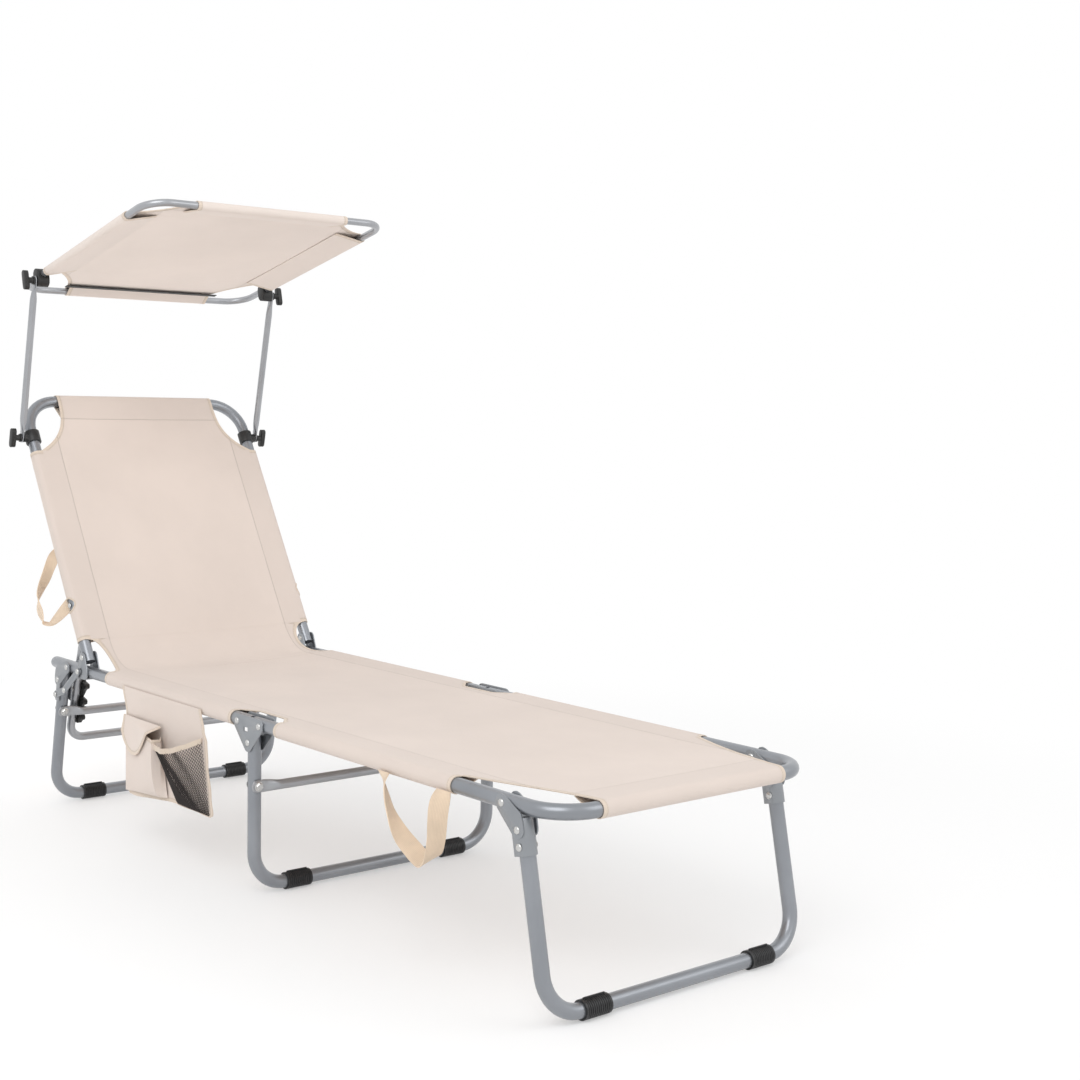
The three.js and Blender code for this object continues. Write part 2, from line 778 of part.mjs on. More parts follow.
// Seat cloth: sleeves round the rails, a narrow neck at the middle, a curl at the backrest
function seatCloth() {
  const curlEnd = -backrestPivotBehind + crookGap;
  const stations = crookShares.map(([lengthShare, riseShare]) => [
    curlEnd + crookLength * lengthShare,
    backNeckHalf,
    clothSag,
    crookRise * riseShare,
  ]);
  stations.push([-seatSleeveRear - neckTaper, backNeckHalf, clothSag, 0]);
  stations.push([-seatSleeveRear, halfTrack, clothSag, 0]);
  stations.push([-seatSleeveFront, halfTrack, clothSag, 0]);
  stations.push([-seatSleeveFront + neckTaper, clothNeckHalf, clothSag, 0]);
  stations.push([hingeHalf - bridgeHalf - clothEdgeGap, clothNeckHalf, clothSag, 0]);
  const panel = clothPanel(stations, clothOuter, halfTrack);
  const tubes = sides.map((side) => {
    const y = side.sign * halfTrack;
    return sleeveAlongX(y, clothInner, -seatSleeveRear, -seatSleeveFront, tubeSides);
  });
  return join(panel, ...tubes);
}
mesh(seat, 'seat_sling', seatCloth(), creamCloth);

// Storage pocket: a backing sheet under the right rail with a flapped pouch and a net pouch
const pocketFace = -halfTrack - clothOuter - fitGap; // outer face of the rail sleeve
const pocketFront0 = pocketFace - clothThickness - fitGap;

function pocketBacking() {
  const outline = polygonShape([
    [-pocketRear, -pocketDrop],
    [-pocketFront + pocketSlant, -pocketDrop],
    [-pocketFront + pocketSlant, -pocketDrop + pocketCornerCut],
    [-pocketFront, 0],
    [-pocketRear, 0],
  ]);
  return plate(outline, clothThickness, pocketFace - clothThickness / 2);
}
mesh(seat, 'pocket_panel', pocketBacking(), creamCloth);

function flappedPouch() {
  const from = -pocketRear + pouchInset;
  const top = -pouchTop;
  const back = pocketFront0;
  const middleY = back - pouchDepth / 2;
  const block = new THREE.BoxGeometry(pouchWidth, pouchDepth, pouchHeight);
  block.translate(from + pouchWidth / 2, middleY, top - pouchHeight / 2);
  const room = new THREE.BoxGeometry(
    pouchWidth - 2 * clothThickness,
    pouchDepth - 2 * clothThickness,
    pouchHeight
  );
  room.translate(from + pouchWidth / 2, middleY, top - pouchHeight / 2 + clothThickness);
  return cut(block, room);
}
mesh(seat, 'flap_pouch', flappedPouch(), creamCloth);

function pouchFlap() {
  const from = -pocketRear + pouchInset;
  const to = from + pouchWidth;
  const low = -pouchTop - flapDrop;
  const high = -pouchTop + fitGap + clothThickness;
  const front = pocketFront0 - pouchDepth - fitGap;
  const outline = new THREE.Shape();
  outline.moveTo(from, high);
  outline.absarc(from + flapCornerRadius, low + flapCornerRadius, flapCornerRadius, Math.PI, 1.5 * Math.PI);
  outline.absarc(to - flapCornerRadius, low + flapCornerRadius, flapCornerRadius, -Math.PI / 2, 0);
  outline.lineTo(to, high);
  outline.closePath();
  const hanging = plate(outline, clothThickness, front - clothThickness / 2);
  const depth = pouchDepth + fitGap + clothThickness;
  const lid = new THREE.BoxGeometry(pouchWidth, depth, clothThickness);
  lid.translate((from + to) / 2, pocketFront0 - depth / 2, high - clothThickness / 2);
  return join(hanging, lid);
}
mesh(seat, 'pouch_flap', pouchFlap(), creamCloth);

// The net pouch stands away from its backing at the top and closes on it at the foot
function netPouch() {
  const from = -pocketRear + pouchInset + pouchWidth + clothThickness;
  const to = -pocketFront + pocketSlant * netSlantShare;
  const rows = netDepthShares.map((depthShare, r) => {
    const height = r / (netDepthShares.length - 1);
    const top = THREE.MathUtils.lerp(-meshTop, -pocketDrop + clothThickness, height);
    const row = [];
    for (let i = 0; i <= clothColumns; i += 1) {
      const across = i / clothColumns;
      const bulge = Math.sin(Math.PI * across);
      const y = pocketFront0 - meshDepth * depthShare * bulge;
      const dip = (1 - height) * (netRimRise * across - netRimSag * bulge);
      row.push(point(THREE.MathUtils.lerp(from, to, across), y, top + dip));
    }
    return row;
  });
  const outwardShift = point(0, -clothThickness, 0);
  return sheetThrough(rows, rows.map(() => outwardShift));
}
mesh(seat, 'net_pouch', netPouch(), blackNet);

// Backrest, modelled lying flat toward the head, and turned up about its pivots
const backTurn = radians(90 - recline);
const backrest = group(seat, -backrestPivotBehind, backrestPivotRise, backTurn);
backrest.name = 'backrest';

const backTube = lyingTube(backrestTubeTail, -backrestLength, halfTrack, backrestCornerRadius, tubeRadius, tubeSides);
const backBores = sides.flatMap((side) => {
  const y = side.sign * halfTrack;
  return [rivetHole(0, 0, y), rivetHole(-ratchetPivotUp, 0, y)];
});
mesh(backrest, 'backrest_tube', cut(backTube, ...backBores), frameGrey);

function backCloth() {
  const stations = [[-backLowEnd, backNeckHalf, clothSag, 0]];
  stations.push([-backSleeveStart + neckTaper, backNeckHalf, clothSag, 0]);
  stations.push([-backSleeveStart, halfTrack, clothSag, 0]);
  stations.push([-backSleeveEnd, halfTrack, clothSag, 0]);
  const cornerLength = backrestLength - backSleeveEnd;
  for (const [lengthShare, halfShare, sagShare] of backCornerShares) {
    const half = topSleeveHalf + (halfTrack - topSleeveHalf) * halfShare;
    stations.push([-backSleeveEnd - cornerLength * lengthShare, half, clothSag * sagShare, 0]);
  }
  stations.reverse();
  const panel = clothPanel(stations, clothOuter, halfTrack);
  const tubes = sides.map((side) => {
    const y = side.sign * halfTrack;
    return sleeveAlongX(y, clothInner, -backSleeveEnd, -backSleeveStart, tubeSides);
  });
  const top = sleeveAlongY(-backrestLength, clothInner, topSleeveHalf, tubeSides);
  const holes = sides.map((side) => {
    const ends = [side.sign * (halfTrack - clothOuter - cutOver), side.sign * (halfTrack + clothOuter + cutOver)];
    return rodAlongY(-ratchetPivotUp, 0, rivetWindowRadius, Math.min(...ends), Math.max(...ends), smallSides);
  });
  return cut(join(panel, ...tubes, top), ...holes);
}
mesh(backrest, 'backrest_sling', backCloth(), creamCloth);

// Clamp round the backrest tube, with a boss that faces the canopy arm
function armClamp(side) {
  const y = side.sign * halfTrack;
  const faceY = side.sign * (armInner - fitGap);
  const radius = clothInner + clampWall;
  const body = rodAlongX(y, 0, radius, -clampWidth / 2, clampWidth / 2, tubeSides);
  const boss = rodAlongY(0, 0, clampBossRadius, Math.min(y, faceY), Math.max(y, faceY), smallSides);
  const bore = rodAlongX(y, 0, clothInner, -clampWidth, clampWidth, tubeSides);
  const blind = [side.sign * (halfTrack + clothInner), side.sign * armOuter];
  const thread = rodAlongY(0, 0, rivetRadius + fitGap, Math.min(...blind), Math.max(...blind), smallSides);
  return cut(join(body, boss), bore, thread).translate(-armClampUp, 0, 0);
}
for (const side of sides) {
  mesh(backrest, `arm_clamp_${side.name}`, armClamp(side), blackPlastic);
}

// Carrying strap on the right side of the backrest
function backHandle() {
  const spots = backHandleShares.map(([upShare, outShare]) => {
    const up = THREE.MathUtils.lerp(backHandleLow, backHandleHigh, upShare);
    return point(-up, -halfTrack - clothOuter - fitGap - backHandleReach * outShare, 0);
  });
  return strapAlong(spots, point(0, 0, handleWidth), handleThickness);
}
mesh(backrest, 'backrest_handle', backHandle(), webbing);

// Ratchet bar that props the backrest, hanging from rivets in its side tubes
const barTurn = radians(ratchetBarLean) - backTurn;
const ratchet = group(backrest, -ratchetPivotUp, 0, barTurn);
ratchet.name = 'ratchet';
const rackLow = rackTop + rackPitch * (rackHookCount - 1) + rackHookDepth;
const rackRivetDowns = [rackTop + rackPitch / 2, rackLow - rackPitch / 2];

function ratchetBar() {
  const track = ratchetBarTrack;
  const tube = hangingTube(0, track, 0, -ratchetBarLength, ratchetBarCornerRadius, ratchetBarRadius, thinTubeSides);
  const pieces = [tube];
  const holes = [];
  for (const side of sides) {
    const s = side.sign;
    const eye = [s * (track - ratchetBarRadius), s * (track + ratchetBarRadius)];
    pieces.push(rodAlongY(0, 0, ratchetEyeRadius, Math.min(...eye), Math.max(...eye), thinTubeSides));
    const headY = s * (halfTrack + cheekInner);
    const tip = headY + (s * rivetHeadHeight) / 2;
    pieces.push(rodAlongY(0, 0, rivetRadius, Math.min(s * track, tip), Math.max(s * track, tip), smallSides));
    pieces.push(domeHead(0, headY, 0, s, rivetHeadRadius, rivetHeadHeight));
    for (const down of rackRivetDowns) {
      holes.push(rodAlongY(0, -down, rivetRadius + fitGap, -track - tubeRadius, track + tubeRadius, smallSides));
    }
  }
  return cut(join(...pieces), ...holes.slice(0, rackRivetDowns.length));
}
mesh(ratchet, 'ratchet_bar', ratchetBar(), thinTubeGrey);

// Toothed rack riveted inside each upright of the ratchet bar
function ratchetRack(side) {
  const low = -rackLow - rackMargin;
  const outline = [[-rackBack, -rackTop + rackMargin], [-rackBack, low], [rackSeat, low]];
  for (let k = rackHookCount - 1; k >= 0; k -= 1) {
    const z = -rackTop - rackPitch * k;
    for (const [reachShare, dropShare] of hookShares) {
      outline.push([rackSeat + (rackTip - rackSeat) * reachShare, z - rackHookDepth * dropShare]);
    }
  }
  outline.push([rackSeat, -rackTop + rackMargin]);
  const gapFace = ratchetBarTrack - ratchetBarRadius - fitGap;
  const body = plate(polygonShape(outline), rackThickness, side.sign * (gapFace - rackThickness / 2));
  const pieces = [body];
  for (const down of rackRivetDowns) {
    const s = side.sign;
    const outer = s * (ratchetBarTrack + ratchetBarRadius + fitGap);
    const inner = s * (gapFace - rackThickness / 2);
    const tip = outer + (s * rackRivetHeight) / 2;
    pieces.push(rodAlongY(0, -down, rivetRadius, Math.min(tip, inner), Math.max(tip, inner), smallSides));
    pieces.push(domeHead(0, outer, -down, s, rackRivetHead, rackRivetHeight));
  }
  return join(...pieces);
}
for (const side of sides) {
  mesh(ratchet, `ratchet_rack_${side.name}`, ratchetRack(side), blackPlastic);
}

// Canopy arms, standing on the clamps of the backrest
const arms = group(backrest, -armClampUp, 0, radians(armLean) - backTurn);
arms.name = 'canopy_arms';

function canopyArm(side) {
  const y = side.sign * armTrack;
  const roundFrom = armFlatLength;
  const roundTo = armLength - armFlatLength;
  const tube = new THREE.CylinderGeometry(armRadius, armRadius, roundTo - roundFrom, thinTubeSides);
  tube.rotateX(Math.PI / 2).translate(0, y, armLength / 2);
  const flat = roundedOutline([[0, 0], [0, armLength]], armFlatWidth / 2);
  const strip = plate(flat, armFlatThickness, y);
  const holes = [0, armLength].map((z) => {
    const radius = rivetRadius + fitGap;
    return rodAlongY(0, z, radius, y - armFlatThickness, y + armFlatThickness, smallSides);
  });
  const middle = new THREE.BoxGeometry(armFlatWidth + cutOver, armFlatWidth + cutOver, roundTo - roundFrom - cutOver);
  const ends = cut(strip, middle.translate(0, y, armLength / 2));
  return cut(join(tube, ends), ...holes);
}
for (const side of sides) {
  mesh(arms, `canopy_arm_${side.name}`, canopyArm(side), thinTubeGrey);
}

// Wing knob whose shank runs through the arm into the clamp
function wingKnob(side) {
  const s = side.sign;
  const from = s * (armOuter + fitGap);
  const at = (out) => from + s * out;
  const rod = (radius, a, b) => rodAlongY(0, 0, radius, Math.min(a, b), Math.max(a, b), smallSides);
  const shank = rod(rivetRadius, at(knobFlangeThickness / 2), s * (halfTrack + clothInner + clothThickness));
  const flange = rod(knobFlangeRadius, from, at(knobFlangeThickness));
  const stem = rod(knobStemRadius, at(knobFlangeThickness / 2), at(knobStemLength));
  const wingHalf = (knobWingLength - knobWingHeight) / 2;
  const outline = roundedOutline([[0, -wingHalf], [0, wingHalf]], knobWingHeight / 2);
  const wing = plate(outline, knobWingThickness, at(knobStemLength));
  return join(shank, flange, stem, wing);
}

for (const side of sides) {
  const turned = group(backrest, -armClampUp, 0, radians(armLean) - backTurn);
  mesh(turned, `lower_knob_${side.name}`, wingKnob(side), blackPlastic);
}

// Canopy: a closed tube frame on two clamps, with the cloth over it
const canopy = group(arms, 0, armLength, -radians(canopyTilt + armLean));
canopy.name = 'canopy';

function canopyFrame() {
  const halves = sides.map((side) => {
    const y = side.sign * canopyHalfTrack;
    const past = -side.sign * canopyOverlap;
    const corners = [
      point(-canopyBehind, past, 0),
      point(-canopyBehind, y, 0),
      point(canopyAhead, y, 0),
      point(canopyAhead, past, 0),
    ];
    return tubeAlong(corners, canopyCornerRadius, canopyTubeRadius, thinTubeSides);
  });
  return join(...halves).translate(0, 0, canopyTubeRise);
}
mesh(canopy, 'canopy_frame', canopyFrame(), thinTubeGrey);

function canopyClamp(side) {
  const s = side.sign;
  const faceY = s * (armInner - fitGap);
  const backY = s * (canopyHalfTrack - canopyTubeRadius - clampWall);
  const outline = roundedOutline([[0, 0], [0, canopyTubeRise]], clampWidth / 2 - fitGap);
  const body = plate(outline, Math.abs(faceY - backY), (faceY + backY) / 2);
  const reach = clampWidth;
  const tubeBore = rodAlongX(s * canopyHalfTrack, canopyTubeRise, canopyTubeRadius + fitGap, -reach, reach, thinTubeSides);
  const ends = [faceY - s * clampThreadDepth, faceY + s * cutOver];
  const thread = rodAlongY(0, 0, rivetRadius + fitGap, Math.min(...ends), Math.max(...ends), smallSides);
  return cut(body, tubeBore, thread);
}
for (const side of sides) {
  mesh(canopy, `canopy_clamp_${side.name}`, canopyClamp(side), blackPlastic);
  mesh(canopy, `upper_knob_${side.name}`, wingKnob(side), blackPlastic);
}

function canopyCloth() {
  const inner = canopyTubeRadius + fitGap;
  const top = inner + clothThickness;
  const stations = [];
  const rearLength = canopySleeveRear + canopyBehind;
  const frontLength = canopyAhead - canopySleeveFront;
  const widen = (canopyHalfTrack - canopySleeveHalf);
  for (const [lengthShare, halfShare] of canopyCornerShares) {
    const half = canopySleeveHalf + widen * halfShare;
    stations.push([-canopyBehind + rearLength * lengthShare, half, 0, 0]);
  }
  for (const [lengthShare, halfShare] of [...canopyCornerShares].reverse()) {
    const half = canopySleeveHalf + widen * halfShare;
    stations.push([canopyAhead - frontLength * lengthShare, half, 0, 0]);
  }
  const panel = clothPanel(stations, top, canopyHalfTrack);
  const tubes = sides.map((side) => {
    const y = side.sign * canopyHalfTrack;
    return sleeveAlongX(y, inner, canopySleeveRear, canopySleeveFront, thinTubeSides);
  });
  const rear = sleeveAlongY(-canopyBehind, inner, canopySleeveHalf, thinTubeSides);
  const front = sleeveAlongY(canopyAhead, inner, canopySleeveHalf, thinTubeSides);
  return join(panel, ...tubes, rear, front).translate(0, 0, canopyTubeRise);
}
mesh(canopy, 'canopy_cloth', canopyCloth(), creamCloth);

// Rear leg, hung from the seat rails behind the backrest
const rearLean = radians(rearLegLean);
const rearLeg = group(seat, -seatLength, 0, rearLean);
rearLeg.name = 'rear_leg';
const rearLength = (legDrop + rearLegOffset * Math.sin(rearLean)) / Math.cos(rearLean);
const rearRivets = [channelRivetDown, braceFootDown];
addLeg(rearLeg, 'rear', -rearLegOffset, rearLength, -rearLean, rearRivets, rearCrossDown);
for (const side of sides) {
  const y = side.sign * halfTrack;
  const carrier = outerRivet(-rearLegOffset, -braceFootDown, y, side.sign, 0, braceInnerTo + fitGap);
  const inner = rearRivets.slice(0, 1);
  const bracket = legBracket(-rearLegOffset, y, inner, [
    ...carrier,
    ...outerRivet(-rearLegOffset, -braceFootDown, y, -side.sign, 0, cheekOuter),
    ...channelExtension(-rearLegOffset, y, channelRivetDown + channelEnd, braceFootDown + channelEnd),
  ]);
  mesh(rearLeg, `rear_leg_bracket_${side.name}`, bracket, frameGrey);
}
mesh(rearLeg, 'rear_cross_tube', crossTube(-rearLegOffset, rearCrossDown), thinTubeGrey);

// The lower part of a channel, past its upper rivet
function channelExtension(axisX, y, from, to) {
  const overlap = from - channelEnd;
  const height = to - overlap;
  const facing = Math.sign(axisX);
  const pieces = [halfRoundWeb(axisX, y, facing, -to, -overlap)];
  for (const face of [-1, 1]) {
    const cheek = new THREE.BoxGeometry(cheekInner, plateThickness, height);
    const middleY = y + face * (cheekInner + plateThickness / 2);
    pieces.push(cheek.translate(axisX - (facing * cheekInner) / 2, middleY, -(overlap + to) / 2));
  }
  return pieces;
}

// Two-part folding brace on the outside of each rear leg
const kneeX = -seatLength - braceKneeBehind;
const footSpot = point(-rearLegOffset, 0, -braceFootDown).applyAxisAngle(point(0, 1, 0), rearLean);
const footX = -seatLength + footSpot.x;
const footZ = footSpot.z;
const lowerBrace = group(rearLeg, -rearLegOffset, -braceFootDown, -rearLean);
lowerBrace.name = 'lower_brace';
const upperBrace = group(seat, bracePivotX, 0, 0);
upperBrace.name = 'upper_brace';

function braceBar(dx, dz, middle) {
  const bar = plate(roundedOutline([[0, 0], [dx, dz]], braceHalfWidth), plateThickness, middle);
  const hole = rodAlongY(0, 0, rivetRadius + fitGap, middle - plateThickness, middle + plateThickness, smallSides);
  return cut(bar, hole);
}

for (const side of sides) {
  const s = side.sign;
  const lowerMiddle = s * (halfTrack + braceInnerTo - plateThickness / 2);
  const lower = braceBar(kneeX - footX, -braceKneeDown - footZ, lowerMiddle);
  mesh(lowerBrace, `brace_lower_${side.name}`, lower, frameGrey);
  const upperMiddle = s * (halfTrack + braceOuterFrom + plateThickness / 2);
  const upper = braceBar(kneeX - bracePivotX, -braceKneeDown, upperMiddle);
  const kneeY = s * (halfTrack + braceOuterTo - plateThickness / 2);
  const knee = domeHead(kneeX - bracePivotX, kneeY, -braceKneeDown, s, rivetHeadRadius, rivetHeadHeight);
  mesh(upperBrace, `brace_upper_${side.name}`, join(upper, knee), frameGrey);
}

// Middle leg: its group stands between the two pivots of the middle hinge
const midLeg = group(lounger, 0, railHeight, 0);
midLeg.name = 'mid_leg';
const midRivets = [midRivetDown];
addLeg(midLeg, 'mid', 0, legDrop, 0, midRivets, midCrossDown);

function midBracket(side) {
  const y = side.sign * halfTrack;
  const outline = roundedOutline([[-hingeHalf, 0], [0, -midBracketDrop], [hingeHalf, 0]], lobeRadius);
  const pieces = [];
  for (const face of [-1, 1]) {
    const middle = y + face * (cheekInner + plateThickness / 2);
    pieces.push(plate(outline, plateThickness, middle));
  }
  pieces.push(...rivet(-hingeHalf, 0, y, cheekOuter), ...rivet(hingeHalf, 0, y, cheekOuter));
  pieces.push(...rivet(0, -midRivetDown, y, cheekOuter));
  const window = new THREE.BoxGeometry(windowWidth, 2 * (cheekOuter + cutOver), windowHeight);
  window.translate(-windowBehind, y, -windowDown);
  return cut(join(...pieces), window);
}
for (const side of sides) {
  mesh(midLeg, `mid_bracket_${side.name}`, midBracket(side), frameGrey);
}
mesh(midLeg, 'mid_cross_tube', crossTube(0, midCrossDown), thinTubeGrey);

const bridge = clothPanel(
  [[-bridgeHalf, clothNeckHalf, clothSag, 0], [bridgeHalf, clothNeckHalf, clothSag, 0]],
  clothOuter,
  halfTrack
);
mesh(midLeg, 'hinge_sling', bridge, creamCloth);

// Foot section: its group stands at its own middle pivot
const foot = group(midLeg, hingeHalf, 0, 0);
foot.name = 'foot_section';
const footEnd = footLength + footReach;
const footTube = lyingTube(-railFront, footEnd, halfTrack, footCornerRadius, tubeRadius, tubeSides);
const footBores = sides.flatMap((side) => {
  const y = side.sign * halfTrack;
  return [rivetHole(0, 0, y), rivetHole(footLength, 0, y)];
});
mesh(foot, 'foot_frame_tube', cut(footTube, ...footBores), frameGrey);

function footCloth() {
  const stations = [
    [bridgeHalf + clothEdgeGap - hingeHalf, clothNeckHalf, clothSag, 0],
    [footSleeveStart - neckTaper, clothNeckHalf, clothSag, 0],
    [footSleeveStart, halfTrack, clothSag, 0],
    [footSleeveEnd, halfTrack, clothSag, 0],
  ];
  const cornerLength = footEnd - footSleeveEnd;
  for (const [lengthShare, halfShare, sagShare] of footCornerShares) {
    const half = frontSleeveHalf + (halfTrack - frontSleeveHalf) * halfShare;
    stations.push([footSleeveEnd + cornerLength * lengthShare, half, clothSag * sagShare, 0]);
  }
  const panel = clothPanel(stations, clothOuter, halfTrack);
  const tubes = sides.map((side) => {
    const y = side.sign * halfTrack;
    return sleeveAlongX(y, clothInner, footSleeveStart, footSleeveEnd, tubeSides);
  });
  const front = sleeveAlongY(footEnd, clothInner, frontSleeveHalf, tubeSides);
  return join(panel, ...tubes, front);
}
mesh(foot, 'foot_sling', footCloth(), creamCloth);

function footHandle() {
  const y = -halfTrack - clothOuter - fitGap - footHandleOut;
  const spots = footHandleShares.map(([alongShare, downShare]) => {
    const back = THREE.MathUtils.lerp(footHandleBack, footHandleFront, alongShare);
    return point(footSleeveEnd - back, y, -footHandleDrop * downShare);
  });
  return strapAlong(spots, point(0, handleWidth, 0), handleThickness);
}
mesh(foot, 'foot_handle', footHandle(), webbing);

// Front leg, hung near the foot end
const frontLean = radians(frontLegLean);
const frontLeg = group(foot, footLength, 0, -frontLean);
frontLeg.name = 'front_leg';
const frontLength = (legDrop + frontLegOffset * Math.sin(frontLean)) / Math.cos(frontLean);
const frontRivets = [channelRivetDown, frontRivetDown];
addLeg(frontLeg, 'front', frontLegOffset, frontLength, frontLean, frontRivets, 0);
for (const side of sides) {
  const y = side.sign * halfTrack;
  mesh(frontLeg, `front_leg_bracket_${side.name}`, legBracket(frontLegOffset, y, frontRivets, []), frameGrey);
}

// The origin goes to the middle of the underside of the whole lounger
lounger.updateMatrixWorld(true);
const bounds = new THREE.Box3().setFromObject(lounger, true);
const origin = bounds.getCenter(point(0, 0, 0)).setZ(bounds.min.z);
for (const part of lounger.children) {
  part.position.sub(origin);
}

export default lounger;
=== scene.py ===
from math import acos, atan2, cos, hypot, pi, radians, sin

import bpy
from mathutils import Matrix, Vector


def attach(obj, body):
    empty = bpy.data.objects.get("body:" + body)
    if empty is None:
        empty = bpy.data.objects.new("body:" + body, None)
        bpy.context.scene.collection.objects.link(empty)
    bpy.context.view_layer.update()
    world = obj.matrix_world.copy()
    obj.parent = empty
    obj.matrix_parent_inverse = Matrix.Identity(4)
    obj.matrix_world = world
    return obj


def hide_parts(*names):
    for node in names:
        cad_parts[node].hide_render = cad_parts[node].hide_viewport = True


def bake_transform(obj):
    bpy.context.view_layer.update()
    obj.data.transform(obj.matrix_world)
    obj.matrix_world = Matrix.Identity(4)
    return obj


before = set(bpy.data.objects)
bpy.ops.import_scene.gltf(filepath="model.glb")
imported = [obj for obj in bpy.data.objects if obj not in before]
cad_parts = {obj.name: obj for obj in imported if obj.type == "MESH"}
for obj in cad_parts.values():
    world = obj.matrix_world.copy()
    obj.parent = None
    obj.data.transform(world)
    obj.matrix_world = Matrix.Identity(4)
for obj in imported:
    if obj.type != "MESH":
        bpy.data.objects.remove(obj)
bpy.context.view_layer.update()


# Seat rails
# Two straight steel tubes under the sitter, coated in metallic grey. Their head ends are
# closed and rounded, and their front ends stop inside the middle hinge.
MIDDLE_Y = 0.02005
RAIL_TRACK = 0.239
RAIL_RADIUS = 0.011
RAIL_HEIGHT = 0.282
RAIL_BACK = -0.67835
RAIL_FRONT = 0.07265
RAIL_NOSE_SHARES = ((0, 1), (0.35, 0.94), (0.7, 0.72), (0.92, 0.4), (1, 0.12))
BEND_STEPS = 14
TUBE_ROUNDNESS = 6
TUBE_SMOOTHING = 40
WELD_GAP = 0.00001
FRAME_GREY = (0.285, 0.3, 0.325)
SIDES = {"right": -1, "left": 1}


def place_of(x, z, turn=0):
    """Where a section stands: its pivot on the middle line and its turn about +Y."""
    return Matrix.Translation((x, MIDDLE_Y, z)) @ Matrix.Rotation(radians(turn), 4, "Y")


def wire(tree, kind, **settings):
    """Adds a shader node. Names of sockets are given with spaces as underscores."""
    node = tree.nodes.new(kind)
    for name, value in settings.items():
        socket = node.inputs.get(name.replace("_", " "))
        if socket is None:
            setattr(node, name, value)
        elif isinstance(value, bpy.types.NodeSocket):
            tree.links.new(value, socket)
        else:
            socket.default_value = value
    return node


def new_material(name):
    """A material with its tree, its shader and the object coordinates."""
    material = bpy.data.materials.new(name)
    material.use_nodes = True
    tree = material.node_tree
    place = tree.nodes.new("ShaderNodeTexCoord").outputs["Object"]
    return material, tree, tree.nodes["Principled BSDF"], place


def set_shader(shader, **values):
    for name, value in values.items():
        shader.inputs[name.replace("_", " ")].default_value = value


def noise(tree, place, scale, detail, roughness=0.5):
    node = wire(tree, "ShaderNodeTexNoise", Vector=place, Scale=scale, Detail=detail, Roughness=roughness)
    return node.outputs["Fac"]


def shaded(color, share):
    return (*[min(channel * share, 1) for channel in color], 1)


def toned(tree, factor, color, dark, bright, ends=(0, 1)):
    """A colour that runs with a factor between two shades of itself."""
    node = wire(tree, "ShaderNodeValToRGB", Fac=factor)
    for stop, position, share in zip(node.color_ramp.elements, ends, (dark, bright)):
        stop.position = position
        stop.color = shaded(color, share)
    return node.outputs["Color"]


def polished(tree, shader, factor, low, high):
    """Roughness that runs between two values with a factor."""
    node = wire(tree, "ShaderNodeMapRange", Value=factor, To_Min=low, To_Max=high)
    tree.links.new(node.outputs["Result"], shader.inputs["Roughness"])


def bumped(tree, shader, height, strength, distance):
    node = wire(tree, "ShaderNodeBump", Height=height, Strength=strength, Distance=distance)
    tree.links.new(node.outputs["Normal"], shader.inputs["Normal"])


def coated_steel(name, color, metallic, roughness):
    """Metallic powder coat: a fine orange peel, faint cloudiness and rubbed patches."""
    material, tree, shader, place = new_material(name)
    clouds = noise(tree, place, scale=9.0, detail=3.0)
    tone = toned(tree, clouds, color, dark=0.9, bright=1.1, ends=(0.3, 0.72))
    tree.links.new(tone, shader.inputs["Base Color"])
    rubbed = noise(tree, place, scale=60.0, detail=2.0)
    polished(tree, shader, rubbed, low=roughness - 0.05, high=roughness + 0.06)
    set_shader(shader, Metallic=metallic, Coat_Weight=0.25, Coat_Roughness=0.2)
    peel = noise(tree, place, scale=900.0, detail=1.0)
    bumped(tree, shader, peel, strength=0.25, distance=0.0001)
    return material


def bent_route(corners, bend):
    """The axis of a bent tube: straight runs with a true arc at every inner corner."""
    corners = [Vector(corner) for corner in corners]
    route = [corners[0]]
    for before, corner, after in zip(corners, corners[1:], corners[2:]):
        into = (corner - before).normalized()
        out = (after - corner).normalized()
        turn = into.angle(out)
        start = corner - into * bend * (sin(turn / 2) / cos(turn / 2))
        inward = (out - into * into.dot(out)).normalized()
        centre = start + inward * bend
        for step in range(BEND_STEPS + 1):
            angle = turn * step / BEND_STEPS
            route.append(centre + into * bend * sin(angle) - inward * bend * cos(angle))
    route.append(corners[-1])
    return route


def hoop_route(place, open_end, closed_end, track, bend):
    """The axis of a U between side tracks. Its ends are given as (x, height)."""
    spots = ((open_end, -track), (closed_end, -track), (closed_end, track), (open_end, track))
    return bent_route([place @ Vector((x, y, z)) for (x, z), y in spots], bend)


def add_object(name, data):
    """A new object in the scene, picked for the operators that follow."""
    piece = bpy.data.objects.new(name, data)
    bpy.context.collection.objects.link(piece)
    pick(piece)
    return piece


def weld(gap, outwards=True, flat_angle=None):
    """Merges the points of the picked object that lie together.

    It can turn the faces outwards too, and dissolve the edges inside flat faces.
    """
    bpy.ops.object.mode_set(mode="EDIT")
    bpy.ops.mesh.select_all(action="SELECT")
    bpy.ops.mesh.remove_doubles(threshold=gap)
    if outwards:
        bpy.ops.mesh.normals_make_consistent(inside=False)
    if flat_angle:
        bpy.ops.mesh.dissolve_limited(angle_limit=radians(flat_angle))
    bpy.ops.object.mode_set(mode="OBJECT")


def finish_piece(piece, smoothing, material):
    bpy.ops.object.shade_smooth_by_angle(angle=radians(smoothing))
    dress(piece, material)
    return piece


